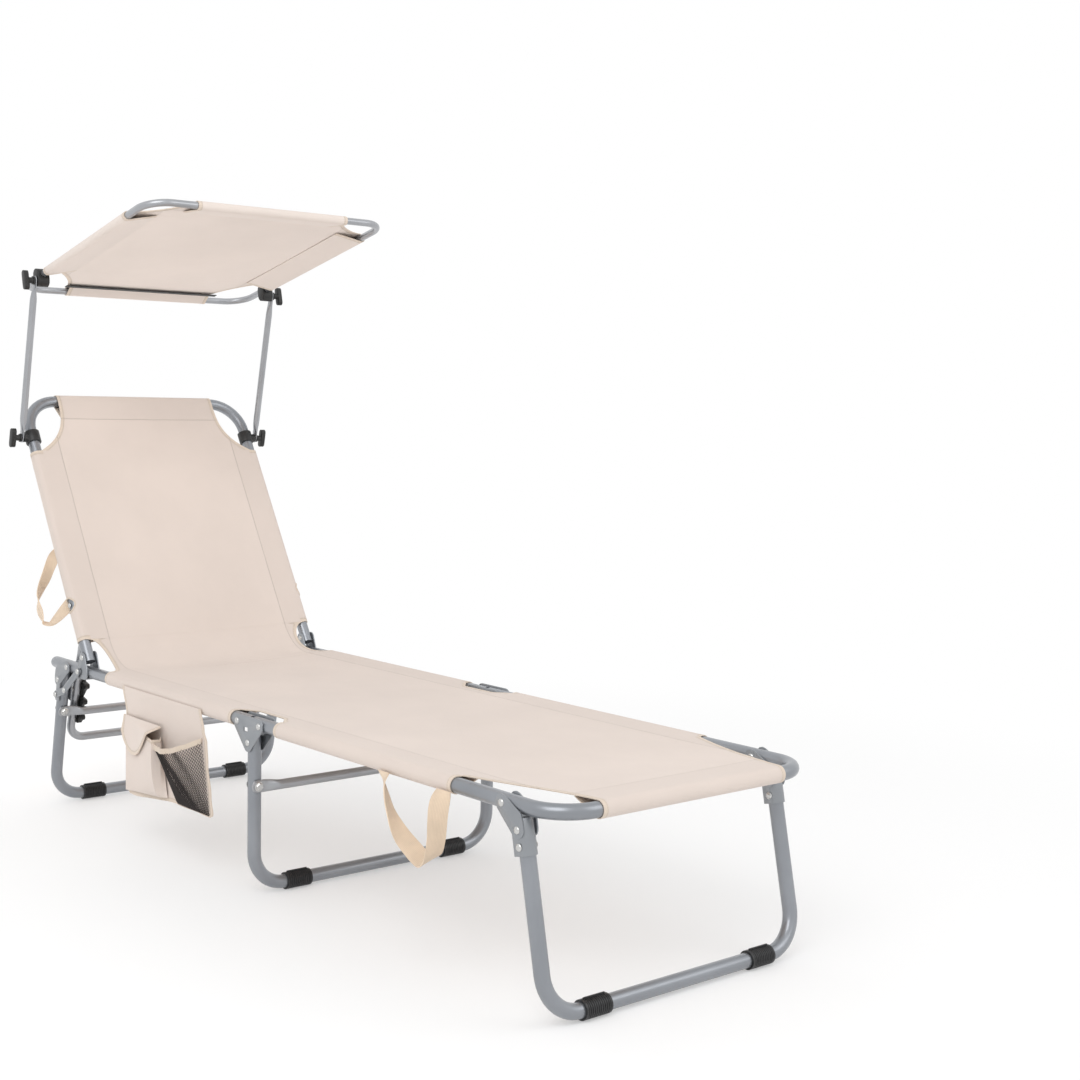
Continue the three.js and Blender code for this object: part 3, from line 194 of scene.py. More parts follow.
def round_tube(name, route, radius, material, shares=None, closed=False):
    """A round tube along a route. shares scale its radius point by point."""
    curve = bpy.data.curves.new(name, "CURVE")
    curve.dimensions = "3D"
    curve.bevel_depth = radius
    curve.bevel_resolution = TUBE_ROUNDNESS
    curve.use_fill_caps = not closed
    spline = curve.splines.new("POLY")
    spline.points.add(len(route) - 1)
    spline.use_cyclic_u = closed
    for number, (point, spot) in enumerate(zip(spline.points, route)):
        point.co = (*spot, 1)
        point.radius = shares[number] if shares else 1
    add_object(name, curve)
    bpy.ops.object.convert(target="MESH")
    weld(WELD_GAP)
    return finish_piece(bpy.context.object, TUBE_SMOOTHING, material)


def pick(*objects):
    """Only these objects are selected, and the first is active."""
    bpy.ops.object.select_all(action="DESELECT")
    for thing in objects:
        thing.select_set(True)
    bpy.context.view_layer.objects.active = objects[0]


def dress(piece, material):
    piece.data.materials.clear()
    piece.data.materials.append(material)


def fix(piece, body, slot, *nodes):
    """The piece rides on a body and stands for the CAD nodes, which it hides. Its slot is not used.

    A cloth that lies across two bodies is given None and rides on no body.
    """
    if body:
        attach(piece, body)
    if nodes:
        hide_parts(*nodes)


frame_paint = coated_steel("frame_paint", FRAME_GREY, metallic=0.75, roughness=0.34)

for side, sign in SIDES.items():
    rail_y = MIDDLE_Y + sign * RAIL_TRACK
    spots = []
    widths = []
    for along, width in reversed(RAIL_NOSE_SHARES):
        spots.append((RAIL_BACK + RAIL_RADIUS * (1 - along), rail_y, RAIL_HEIGHT))
        widths.append(width)
    spots.append((RAIL_FRONT, rail_y, RAIL_HEIGHT))
    widths.append(1)
    seat_rail = round_tube(f"seat_rail_{side}_tube", spots, RAIL_RADIUS, frame_paint, widths)
    fix(seat_rail, "seat", "frame_grey", f"seat_rail_{side}")


# Foot section frame
# One U of the same tube carries the feet. Its open ends sit in the middle hinge, and its
# front corners are bent round a former.
FOOT_TUBE_START = 0.08065
FOOT_TUBE_FRONT = 0.81865
FOOT_BEND = 0.06

foot_corners = ((FOOT_TUBE_START, 0), (FOOT_TUBE_FRONT, 0))
foot_route = hoop_route(place_of(0, RAIL_HEIGHT), *foot_corners, RAIL_TRACK, FOOT_BEND)
foot_frame = round_tube("foot_frame", foot_route, RAIL_RADIUS, frame_paint)
fix(foot_frame, "foot_section", "frame_grey", "foot_frame_tube")


# Backrest frame
# One U of the same tube, hinged just above the seat rails and leaning back. Its tails run a
# little past the hinge.
BACK_PIVOT_X = -0.52835
BACK_PIVOT_Z = 0.309
BACK_TURN = 58.6
BACK_TAIL = 0.01
BACK_LENGTH = 0.5575
BACK_BEND = 0.065

back_place = place_of(BACK_PIVOT_X, BACK_PIVOT_Z, BACK_TURN)
back_route = hoop_route(back_place, (BACK_TAIL, 0), (-BACK_LENGTH, 0), RAIL_TRACK, BACK_BEND)
back_frame = round_tube("backrest_frame", back_route, RAIL_RADIUS, frame_paint)
fix(back_frame, "backrest", "frame_grey", "backrest_tube")


# Legs
# Three U-shaped legs of the same tube. Each hangs from riveted brackets, leans out to the
# floor and stands on two rubber sleeves.
LEG_TOP = 0.021
LEG_BEND = 0.056
FLOOR_AXIS = 0.014
LEGS = {
    "rear": {"x": -0.59635, "offset": -0.034, "lean": 10.7},
    "mid": {"x": 0.07665, "offset": 0.0, "lean": 0.0},
    "front": {"x": 0.71815, "offset": 0.026, "lean": -12.1},
}


def leg_place(leg):
    return place_of(leg["x"], RAIL_HEIGHT, leg["lean"])


def leg_length(leg):
    """From the pivot down the leg to the axis of its floor tube."""
    lean = radians(leg["lean"])
    drop = RAIL_HEIGHT - FLOOR_AXIS
    return (drop - leg["offset"] * sin(lean)) / cos(lean)


for name, leg in LEGS.items():
    leg_ends = ((leg["offset"], -LEG_TOP), (leg["offset"], -leg_length(leg)))
    leg_route = hoop_route(leg_place(leg), *leg_ends, RAIL_TRACK, LEG_BEND)
    leg_tube = round_tube(f"{name}_leg_frame", leg_route, RAIL_RADIUS, frame_paint)
    fix(leg_tube, f"{name}_leg", "frame_grey", f"{name}_leg_tube")


# Brackets and rivets
# Pressed plates in the same paint. Channels wrap the legs, ears straddle the rails and the
# middle hinge, and bright zinc rivets hold them.
PLATE_EDGE = 0.0005
EDGE_STEPS = 2
EDGE_ANGLE = 40
FLAT_ANGLE = 1
PART_SMOOTHING = 35
TURN_WELD_GAP = 0.000005
PLATE_GREY = (0.3, 0.315, 0.335)
ZINC = (0.66, 0.66, 0.65)
RIVET_RADIUS = 0.0055
RIVET_HEIGHT = 0.0029
RIVET_SIDES = 24
RIVET_SHARES = ((0, 0), (0, 1), (0.3, 0.97), (0.6, 0.82), (0.84, 0.56), (0.97, 0.26), (1, 0))
CHEEK_FACE = 0.0133
BRACE_LOW_FACE = 0.0159
BRACE_TOP_FACE = 0.0182
HINGE_HALF = 0.033
MID_RIVET_DOWN = 0.031
CHANNEL_RIVET_DOWN = 0.036
BRACE_RIVET_DOWN = 0.066
FRONT_RIVET_DOWN = 0.058
BRACE_TOP_X = -0.53735
KNEE_X = -0.59735
KNEE_Z = 0.238
RATCHET_X = -0.58461
RATCHET_Z = 0.40118
RATCHET_TURN = 17.7
RATCHET_FACE = 0.0113


def zinc_plated(name, color):
    """Bright plating with a faint crystal bloom and fine scratches."""
    material, tree, shader, place = new_material(name)
    bloom = wire(tree, "ShaderNodeTexVoronoi", Vector=place, Scale=700.0)
    tone = toned(tree, bloom.outputs["Distance"], color, dark=0.82, bright=1)
    tree.links.new(tone, shader.inputs["Base Color"])
    scratches = noise(tree, place, scale=400.0, detail=3.0)
    polished(tree, shader, scratches, low=0.2, high=0.36)
    set_shader(shader, Metallic=1.0)
    return material


def refined_copy(node, name, edge, material):
    """The solid's own shape, its triangles merged into faces and its edges broken."""
    piece = add_object(name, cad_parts[node].data.copy())
    weld(WELD_GAP, outwards=False, flat_angle=FLAT_ANGLE)
    broken = piece.modifiers.new("edge", "BEVEL")
    broken.width = edge
    broken.segments = EDGE_STEPS
    broken.limit_method = "ANGLE"
    broken.angle_limit = radians(EDGE_ANGLE)
    broken.harden_normals = False
    bpy.ops.object.modifier_apply(modifier=broken.name)
    return finish_piece(piece, PART_SMOOTHING, material)


def turned(name, profile, spot, axis, sides, material):
    """A shape turned about an axis. The profile gives (along the axis, radius) in order."""
    axis = Vector(axis).normalized()
    spot = Vector(spot)
    across = axis.orthogonal().normalized()
    points = [spot + axis * along + across * radius for along, radius in profile]
    data = bpy.data.meshes.new(name)
    data.from_pydata(points, [(i, i + 1) for i in range(len(points) - 1)], [])
    piece = add_object(name, data)
    bpy.ops.object.mode_set(mode="EDIT")
    bpy.ops.mesh.select_all(action="SELECT")
    bpy.ops.mesh.spin(steps=sides, angle=2 * pi, center=spot, axis=axis)
    bpy.ops.mesh.select_all(action="SELECT")
    bpy.ops.mesh.remove_doubles(threshold=TURN_WELD_GAP)
    bpy.ops.mesh.normals_make_consistent(inside=False)
    bpy.ops.object.mode_set(mode="OBJECT")
    return finish_piece(piece, PART_SMOOTHING, material)


def copied(pattern, name, place):
    """A copy of a finished shape with its own mesh, at its own place."""
    piece = bpy.data.objects.new(name, pattern.data.copy())
    bpy.context.collection.objects.link(piece)
    piece.data.transform(place)
    return piece


def joined(name, parts):
    pick(*parts)
    if len(parts) > 1:
        bpy.ops.object.join()
    piece = bpy.context.object
    piece.name = name
    return piece


plate_paint = coated_steel("plate_paint", PLATE_GREY, metallic=0.75, roughness=0.36)
zinc = zinc_plated("zinc", ZINC)

BRACKETS = (
    ("backrest_bracket", "seat"),
    ("rear_leg_bracket", "rear_leg"),
    ("mid_bracket", "mid_leg"),
    ("front_leg_bracket", "front_leg"),
    ("brace_upper", "upper_brace"),
    ("brace_lower", "lower_brace"),
)
for kind, body in BRACKETS:
    for side in SIDES:
        bracket = refined_copy(f"{kind}_{side}", f"{kind}_{side}_plate", PLATE_EDGE, plate_paint)
        fix(bracket, body, "frame_grey", f"{kind}_{side}")

head_profile = [(RIVET_HEIGHT * up, RIVET_RADIUS * out) for up, out in RIVET_SHARES]
first_head = turned("first_rivet", head_profile, (0, 0, 0), (0, 0, 1), RIVET_SIDES, zinc)
rear_place = leg_place(LEGS["rear"])
front_place = leg_place(LEGS["front"])
mid_place = leg_place(LEGS["mid"])
rear_x = LEGS["rear"]["offset"]
front_x = LEGS["front"]["offset"]
back_pin = place_of(BACK_PIVOT_X, BACK_PIVOT_Z)
brace_pin = place_of(BRACE_TOP_X, RAIL_HEIGHT)
knee_pin = place_of(KNEE_X, KNEE_Z)
bar_pin = place_of(RATCHET_X, RATCHET_Z, RATCHET_TURN)
RIVETS = (
    ("seat", back_pin, 0, 0, CHEEK_FACE, CHEEK_FACE),
    ("seat", brace_pin, 0, 0, BRACE_TOP_FACE, CHEEK_FACE),
    ("rear_leg", rear_place, 0, 0, CHEEK_FACE, CHEEK_FACE),
    ("rear_leg", rear_place, rear_x, CHANNEL_RIVET_DOWN, CHEEK_FACE, CHEEK_FACE),
    ("rear_leg", rear_place, rear_x, BRACE_RIVET_DOWN, BRACE_LOW_FACE, CHEEK_FACE),
    ("front_leg", front_place, 0, 0, CHEEK_FACE, CHEEK_FACE),
    ("front_leg", front_place, front_x, CHANNEL_RIVET_DOWN, CHEEK_FACE, CHEEK_FACE),
    ("front_leg", front_place, front_x, FRONT_RIVET_DOWN, CHEEK_FACE, CHEEK_FACE),
    ("mid_leg", mid_place, -HINGE_HALF, 0, CHEEK_FACE, CHEEK_FACE),
    ("mid_leg", mid_place, HINGE_HALF, 0, CHEEK_FACE, CHEEK_FACE),
    ("mid_leg", mid_place, 0, MID_RIVET_DOWN, CHEEK_FACE, CHEEK_FACE),
    ("upper_brace", knee_pin, 0, 0, BRACE_TOP_FACE, None),
    ("ratchet", bar_pin, 0, 0, RATCHET_FACE, None),
)
heads = {}
for body, place, x, down, outer, inner in RIVETS:
    for sign in SIDES.values():
        for reach, way in ((outer, sign), (inner, -sign)):
            if reach is None:
                continue
            spot = place @ Vector((x, sign * RAIL_TRACK + way * reach, -down))
            turn = Matrix.Translation(spot) @ Matrix.Rotation(-way * pi / 2, 4, "X")
            heads.setdefault(body, []).append(copied(first_head, f"{body}_head", turn))
for body, parts in heads.items():
    fix(joined(f"{body}_rivets", parts), body, "frame_grey")
bpy.data.objects.remove(first_head)


# Cross tubes
# Thinner tubes tie the uprights of the rear and middle legs. Their ends are pressed flat,
# rounded off and bolted to the front of each upright.
CROSS_RADIUS = 0.008
CROSS_FACE = 0.0113
CROSS_END = 0.2505
REAR_CROSS_DOWN = 0.098
MID_CROSS_DOWN = 0.101
PRESSED_FLAT = 0.17
THIN_GREY = (0.4, 0.41, 0.43)
PRESS_RINGS = (
    (0.203, 1, 1), (0.209, 0.86, 1.06), (0.215, 0.6, 1.15), (0.221, 0.36, 1.23), (0.2265, 0.2, 1.28),
    (0.23, PRESSED_FLAT, 1.3), (0.2435, PRESSED_FLAT, 1.3), (0.2475, PRESSED_FLAT, 1.08),
    (0.2497, PRESSED_FLAT, 0.7), (CROSS_END, PRESSED_FLAT, 0.25),
)
RING_REACH = 0.0001
BOLT_RADIUS = 0.0063
BOLT_HEIGHT = 0.0034
WASHER_RADIUS = 0.0078
WASHER_HEIGHT = 0.0011
WASHER_SIDES = 28
HEX_SIDES = 6
HEX_SHARES = ((0, 0), (0, 1), (0.75, 1), (1, 0.84), (1, 0))
WASHER_SHARES = ((0, 0), (0, 1), (0.8, 1), (1, 0.95), (1, 0))


def press_ring(tube, chosen, size, centre, shift=(0, 0, 0)):
    """Squeezes one ring of a tube about its centre and moves it, as a press does."""
    pick(tube)
    bpy.ops.object.mode_set(mode="EDIT")
    bpy.ops.mesh.select_all(action="DESELECT")
    bpy.ops.object.mode_set(mode="OBJECT")
    for vertex in tube.data.vertices:
        vertex.select = chosen(vertex.co)
    bpy.ops.object.mode_set(mode="EDIT")
    bpy.ops.transform.resize(value=size, center_override=centre)
    bpy.ops.transform.translate(value=shift)
    bpy.ops.object.mode_set(mode="OBJECT")


def bolt_set(name, face, axis):
    """A hexagon head on a washer."""
    washer_profile = [(WASHER_HEIGHT * up, WASHER_RADIUS * out) for up, out in WASHER_SHARES]
    hex_profile = [(WASHER_HEIGHT + BOLT_HEIGHT * up, BOLT_RADIUS * out) for up, out in HEX_SHARES]
    washer = turned(name, washer_profile, face, axis, WASHER_SIDES, zinc)
    hexagon = turned(name, hex_profile, face, axis, HEX_SIDES, zinc)
    pick(hexagon)
    bpy.ops.object.shade_flat()
    return [washer, hexagon]


thin_paint = coated_steel("thin_tube_paint", THIN_GREY, metallic=0.75, roughness=0.32)
CROSS_TUBES = (
    ("rear", "rear_leg", rear_place, rear_x, REAR_CROSS_DOWN),
    ("mid", "mid_leg", mid_place, 0, MID_CROSS_DOWN),
)
rings = [spot for spot, thick, wide in PRESS_RINGS]
for name, body, place, leg_x, down in CROSS_TUBES:
    face = leg_x + CROSS_FACE
    centre_x = face + CROSS_RADIUS
    route = [(centre_x, y, -down) for y in [-ring for ring in reversed(rings)] + rings]
    cross_tube = round_tube(f"{name}_cross_rod", route, CROSS_RADIUS, thin_paint)
    for ring, thick, wide in PRESS_RINGS[1:]:
        for sign in SIDES.values():
            press_ring(
                cross_tube,
                lambda spot: abs(spot.y - sign * ring) < RING_REACH,
                (thick, 1, wide),
                (centre_x, sign * ring, -down),
                (-CROSS_RADIUS * (1 - thick), 0, 0),
            )
    cross_tube.data.transform(place)
    fix(cross_tube, body, "thin_tube_grey", f"{name}_cross_tube")
    bolts = []
    front_face = face + 2 * CROSS_RADIUS * PRESSED_FLAT
    for sign in SIDES.values():
        bolts += bolt_set("bolt", (front_face, sign * RAIL_TRACK, -down), (1, 0, 0))
        bolts += bolt_set("nut", (leg_x - RAIL_RADIUS, sign * RAIL_TRACK, -down), (-1, 0, 0))
    bolt_row = joined(f"{name}_cross_bolts", bolts)
    bolt_row.data.transform(place)
    fix(bolt_row, body, "thin_tube_grey")


# Foot pads
# Black rubber sleeves pushed over each floor tube before it is bent, with fine ribs all
# round and a moulding seam on top.
PAD_CENTRE = 0.159
PAD_LENGTH = 0.046
PAD_INNER = 0.01105
PAD_CREST = 0.0139
PAD_VALLEY = 0.0128
PAD_COLLAR = 0.0035
PAD_RIBS = 11
PAD_SIDES = 40
RIB_SHARES = ((0.12, 0), (0.3, 1), (0.7, 1), (0.88, 0))
SEAM_WIDTH = 0.0022
SEAM_LENGTH = 0.038
SEAM_TOP = 0.0162
SEAM_ROUND_SHARE = 0.25
RUBBER_BLACK = (0.012, 0.012, 0.013)


def moulded_black(name, color, roughness, grain):
    """Moulded black plastic or rubber with a fine spark-eroded grain and dull scuffs."""
    material, tree, shader, place = new_material(name)
    dust = noise(tree, place, scale=70.0, detail=4.0, roughness=0.7)
    tone = toned(tree, dust, color, dark=1, bright=1.9, ends=(0.35, 0.8))
    tree.links.new(tone, shader.inputs["Base Color"])
    polished(tree, shader, dust, low=roughness - 0.06, high=roughness + 0.12)
    eroded = noise(tree, place, scale=grain, detail=1.0)
    bumped(tree, shader, eroded, strength=0.3, distance=0.0001)
    return material


rubber = moulded_black("black_rubber_skin", RUBBER_BLACK, roughness=0.36, grain=1400.0)
pad_half = PAD_LENGTH / 2
rib_from = -pad_half + PAD_COLLAR
rib_pitch = (PAD_LENGTH - 2 * PAD_COLLAR) / PAD_RIBS
pad_profile = [(-pad_half, PAD_INNER), (-pad_half, PAD_CREST), (rib_from, PAD_CREST)]
for rib in range(PAD_RIBS):
    for along, rise in RIB_SHARES:
        rib_radius = PAD_VALLEY + (PAD_CREST - PAD_VALLEY) * rise
        pad_profile.append((rib_from + rib_pitch * (rib + along), rib_radius))
pad_profile += [(pad_half - PAD_COLLAR, PAD_CREST), (pad_half, PAD_CREST), (pad_half, PAD_INNER)]
pad_profile.append(pad_profile[0])
pad_sleeve = turned("first_pad", pad_profile, (0, 0, 0), (0, 1, 0), PAD_SIDES, rubber)
bpy.ops.object.select_all(action="DESELECT")
seam_height = SEAM_TOP - PAD_VALLEY
bpy.ops.mesh.primitive_cube_add(
    size=1,
    location=(0, 0, PAD_VALLEY + seam_height / 2),
    scale=(SEAM_WIDTH, SEAM_LENGTH, seam_height),
)
pad_seam = bpy.context.object
bpy.ops.object.transform_apply(location=True, rotation=True, scale=True)
bpy.ops.object.mode_set(mode="EDIT")
bpy.ops.mesh.bevel(offset=SEAM_WIDTH * SEAM_ROUND_SHARE, segments=EDGE_STEPS)
bpy.ops.object.mode_set(mode="OBJECT")
dress(pad_seam, rubber)
first_pad = joined("first_pad", [pad_sleeve, pad_seam])
for name, leg in LEGS.items():
    foot = leg_place(leg) @ Vector((leg["offset"], 0, -leg_length(leg)))
    for side, sign in SIDES.items():
        place = Matrix.Translation(foot + Vector((0, sign * PAD_CENTRE, 0)))
        pad = copied(first_pad, f"{name}_pad_{side}", place)
        fix(pad, f"{name}_leg", "black_rubber", f"{name}_foot_pad_{side}")
bpy.data.objects.remove(first_pad)


# Ratchet bar
# A U of thin tube that props the backrest. It hangs from rivets inside the backrest tubes,
# its ends pressed oval, and a black toothed rack is riveted inside each upright.
BAR_TRACK = 0.213
BAR_RADIUS = 0.008
BAR_LENGTH = 0.286
BAR_BEND = 0.03
BAR_TOP = 0.0085
BAR_RINGS = (
    (BAR_TOP, 0.55, 0.5), (0.0055, 0.55, 0.95), (0, 0.55, 1.12), (-0.009, 0.6, 1.1), (-0.02, 0.85, 1.03),
)
RACK_EDGE = 0.0008
RACK_RIVETS = (0.17875, 0.23345)
RACK_RIVET_FACE = 0.0083
RACK_RIVET_SIDES = 20
PLASTIC_BLACK = (0.012, 0.012, 0.012)

plastic = moulded_black("black_plastic_skin", PLASTIC_BLACK, roughness=0.4, grain=900.0)
bar_ends = [z for z, thick, wide in BAR_RINGS[:-1]]
bar_route = [Vector((0, -BAR_TRACK, z)) for z in bar_ends]
bar_route += hoop_route(Matrix(), (0, BAR_RINGS[-1][0]), (0, -BAR_LENGTH), BAR_TRACK, BAR_BEND)
bar_route += [Vector((0, BAR_TRACK, z)) for z in reversed(bar_ends)]
ratchet_bar = round_tube("ratchet_hoop", bar_route, BAR_RADIUS, thin_paint)
for z, thick, wide in BAR_RINGS:
    for sign in SIDES.values():
        press_ring(
            ratchet_bar,
            lambda spot: abs(spot.z - z) < RING_REACH and spot.y * sign > 0,
            (wide, thick, 1),
            (0, sign * BAR_TRACK, z),
        )
ratchet_bar.data.transform(bar_pin)
fix(ratchet_bar, "ratchet", "thin_tube_grey", "ratchet_bar")
for side in SIDES:
    rack = refined_copy(f"ratchet_rack_{side}", f"ratchet_rack_{side}_moulding", RACK_EDGE, plastic)
    fix(rack, "ratchet", "black_plastic", f"ratchet_rack_{side}")
rack_heads = []
for down in RACK_RIVETS:
    for sign in SIDES.values():
        face = bar_pin @ Vector((0, sign * (BAR_TRACK + RACK_RIVET_FACE), -down))
        rack_heads.append(turned("rack_head", head_profile, face, (0, sign, 0), RACK_RIVET_SIDES, zinc))
fix(joined("rack_rivets", rack_heads), "ratchet", "thin_tube_grey")


# Canopy arms
# Two thin tubes, pressed flat and rounded at both ends, where the knobs clamp them between
# the backrest and the canopy.
ARMS_X = -0.7753
ARMS_Z = 0.71358
ARMS_TURN = 12.3
ARM_TRACK = 0.261
ARM_RADIUS = 0.0065
ARM_LENGTH = 0.31
ARM_THICK = 0.32
ARM_RINGS = (
    (-0.0088, ARM_THICK, 0.3), (-0.0075, ARM_THICK, 0.85), (-0.004, ARM_THICK, 1.2),
    (0.001, ARM_THICK, 1.34), (0.012, ARM_THICK, 1.34), (0.018, 0.42, 1.28), (0.025, 0.7, 1.14),
    (0.033, 0.93, 1.03), (0.04, 1, 1),
)

arms_place = place_of(ARMS_X, ARMS_Z, ARMS_TURN)
heights = [z for z, thick, wide in ARM_RINGS]
heights += [ARM_LENGTH - z for z in reversed(heights)]
arm_route = [(0, 0, z) for z in heights]
first_arm = round_tube("first_arm", arm_route, ARM_RADIUS, thin_paint)
for z, thick, wide in ARM_RINGS[:-1]:
    for height in (z, ARM_LENGTH - z):
        press_ring(
            first_arm,
            lambda spot: abs(spot.z - height) < RING_REACH,
            (wide, thick, 1),
            (0, 0, height),
        )
for side, sign in SIDES.items():
    arm_spot = arms_place @ Matrix.Translation((0, sign * ARM_TRACK, 0))
    arm = copied(first_arm, f"canopy_arm_{side}_tube", arm_spot)
    fix(arm, "canopy_arms", "thin_tube_grey", f"canopy_arm_{side}")
bpy.data.objects.remove(first_arm)


# Clamps and knobs
# Black mouldings: clamps on the backrest tubes and the canopy frame, and winged knobs whose
# screws pinch the arms between them.
CLAMP_EDGE = 0.001
KNOB_EDGE = 0.0018

CLAMPS = (
    ("arm_clamp", "backrest", CLAMP_EDGE),
    ("canopy_clamp", "canopy", CLAMP_EDGE),
    ("lower_knob", "knob_lower_{side}", KNOB_EDGE),
    ("upper_knob", "knob_upper_{side}", KNOB_EDGE),
)
for kind, body, edge in CLAMPS:
    for side in SIDES:
        moulding = refined_copy(f"{kind}_{side}", f"{kind}_{side}_moulding", edge, plastic)
        fix(moulding, body.format(side=side), "black_plastic", f"{kind}_{side}")


# Canopy frame
# A closed loop of thin bright tube under the canopy cloth, joined in the middle of its
# front and rear runs.
CANOPY_PIVOT_X = -0.70926
CANOPY_PIVOT_Z = 1.01647
CANOPY_TURN = -13.4
CANOPY_TRACK = 0.246
CANOPY_BACK = -0.097
CANOPY_FRONT = 0.455
CANOPY_RISE = 0.012
CANOPY_BEND = 0.045
THIN_RADIUS = 0.0065

canopy_place = place_of(CANOPY_PIVOT_X, CANOPY_PIVOT_Z, CANOPY_TURN)
canopy_corners = (
    (CANOPY_BACK, 0), (CANOPY_BACK, -CANOPY_TRACK), (CANOPY_FRONT, -CANOPY_TRACK),
    (CANOPY_FRONT, CANOPY_TRACK), (CANOPY_BACK, CANOPY_TRACK), (CANOPY_BACK, 0),
)
canopy_spots = [canopy_place @ Vector((x, y, CANOPY_RISE)) for x, y in canopy_corners]
canopy_route = bent_route(canopy_spots, CANOPY_BEND)
canopy_tube = round_tube("canopy_loop", canopy_route[:-1], THIN_RADIUS, thin_paint, closed=True)
fix(canopy_tube, "canopy", "thin_tube_grey", "canopy_frame")


# Backrest cloth
# A stretched polyester cloth in cream. Hemmed sleeves hold it on the side tubes and the top
# tube, tape binds its cut-away corners, and it runs on round the crook to the seat.
CLOTH_THICKNESS = 0.0014
CLOTH_OUTER = 0.0128
CLOTH_SAG = 0.008
HEM_WIDTH = 0.046
CLOTH_CREAM = (0.725, 0.632, 0.572)
TAPE_BEIGE = (0.7, 0.59, 0.48)
TAPE_WIDTH = 0.0075
TAPE_STITCH = 0.006
TAPE_RISE = 0.0005
CLOTH_SMOOTHING = 50
CLOTH_WELD_GAP = 0.00005
PANEL_STEPS = 23
PANEL_HEM_STEPS = 6
PANEL_HEM_SHARE = 0.8
WRAP_STEPS = 14
WRAP_GAP = 0.002
SLEEVE_START = 0.032
SLEEVE_END = 0.438
TOP_SLEEVE_HALF = 0.173
TOP_CORNER_START = 0.92
TOP_CORNER_POWER = 3.2
TOP_CORNER_STEPS = 18
TOP_CORNER_CROWD = 1.6
TOP_CORNER_GAP = 0.0004
SLEEVE_STEPS = 32
SLEEVE_GAP = 0.0005
CROOK_RADIUS = 0.097
CROOK_DEPTH = 0.031
CROOK_POWERS = (0.45, 0.65)
CROOK_STEPS = 30
CROOK_SLOPE_SHARE = 0.01
CROOK_BLEND_SHARE = 0.75
SEAT_SLEEVE_BACK = -0.43435
SEAM_NONE = 1.0
SEAM_DOUBLED = -0.01
THREAD_PITCH = 0.0014
STITCH_HALF = 0.0007
STITCH_PITCH = 0.0036
# Painted shade on the hems: a share of a darker tone of the cloth, standing in for the shade of the
# sleeves' bulge over the tubes.
HEM_PAINTED_SHADE_SHARE = 0.3
HEM_PAINTED_SHADE_LEVEL = 0.88
TAPE_TINT = 0.75
STITCH_TINT = 0.5
STITCH_SHADE = 0.6
STITCH_LEVEL = -0.5
WEAVE_HEIGHT = 0.00005
HEM_RISE = 0.0005
STITCH_RISE = 0.0004
CREASE_HEIGHT = 0.0007
WINDOW_UP = 0.108
WINDOW_WIDE = 0.0118
WINDOW_TALL = 0.0145
WINDOW_DEEP = 0.019
WINDOW_TAPE = 0.0016
WINDOW_SIDES = 28
WINDOW_TAPE_STEPS = 32
sleeve_size = (RAIL_TRACK, CLOTH_OUTER, HEM_WIDTH)


def computed(tree, operation, first, second=0.0, third=0.0):
    """A step of arithmetic between sockets or numbers in a material."""
    node = tree.nodes.new("ShaderNodeMath")
    node.operation = operation
    for socket, value in zip(node.inputs, (first, second, third)):
        if isinstance(value, bpy.types.NodeSocket):
            tree.links.new(value, socket)
        else:
            socket.default_value = value
    return node.outputs[0]


def tinted(tree, factor, under, over):
    """Lays a fixed colour over another where the factor is one."""
    node = wire(tree, "ShaderNodeMix", data_type="RGBA")
    tree.links.new(factor, node.inputs["Factor"])
    tree.links.new(under, node.inputs[6])
    node.inputs[7].default_value = over
    return node.outputs[2]


def waves(tree, along, pitch):
    return computed(tree, "SINE", computed(tree, "MULTIPLY", along, 2 * pi / pitch))


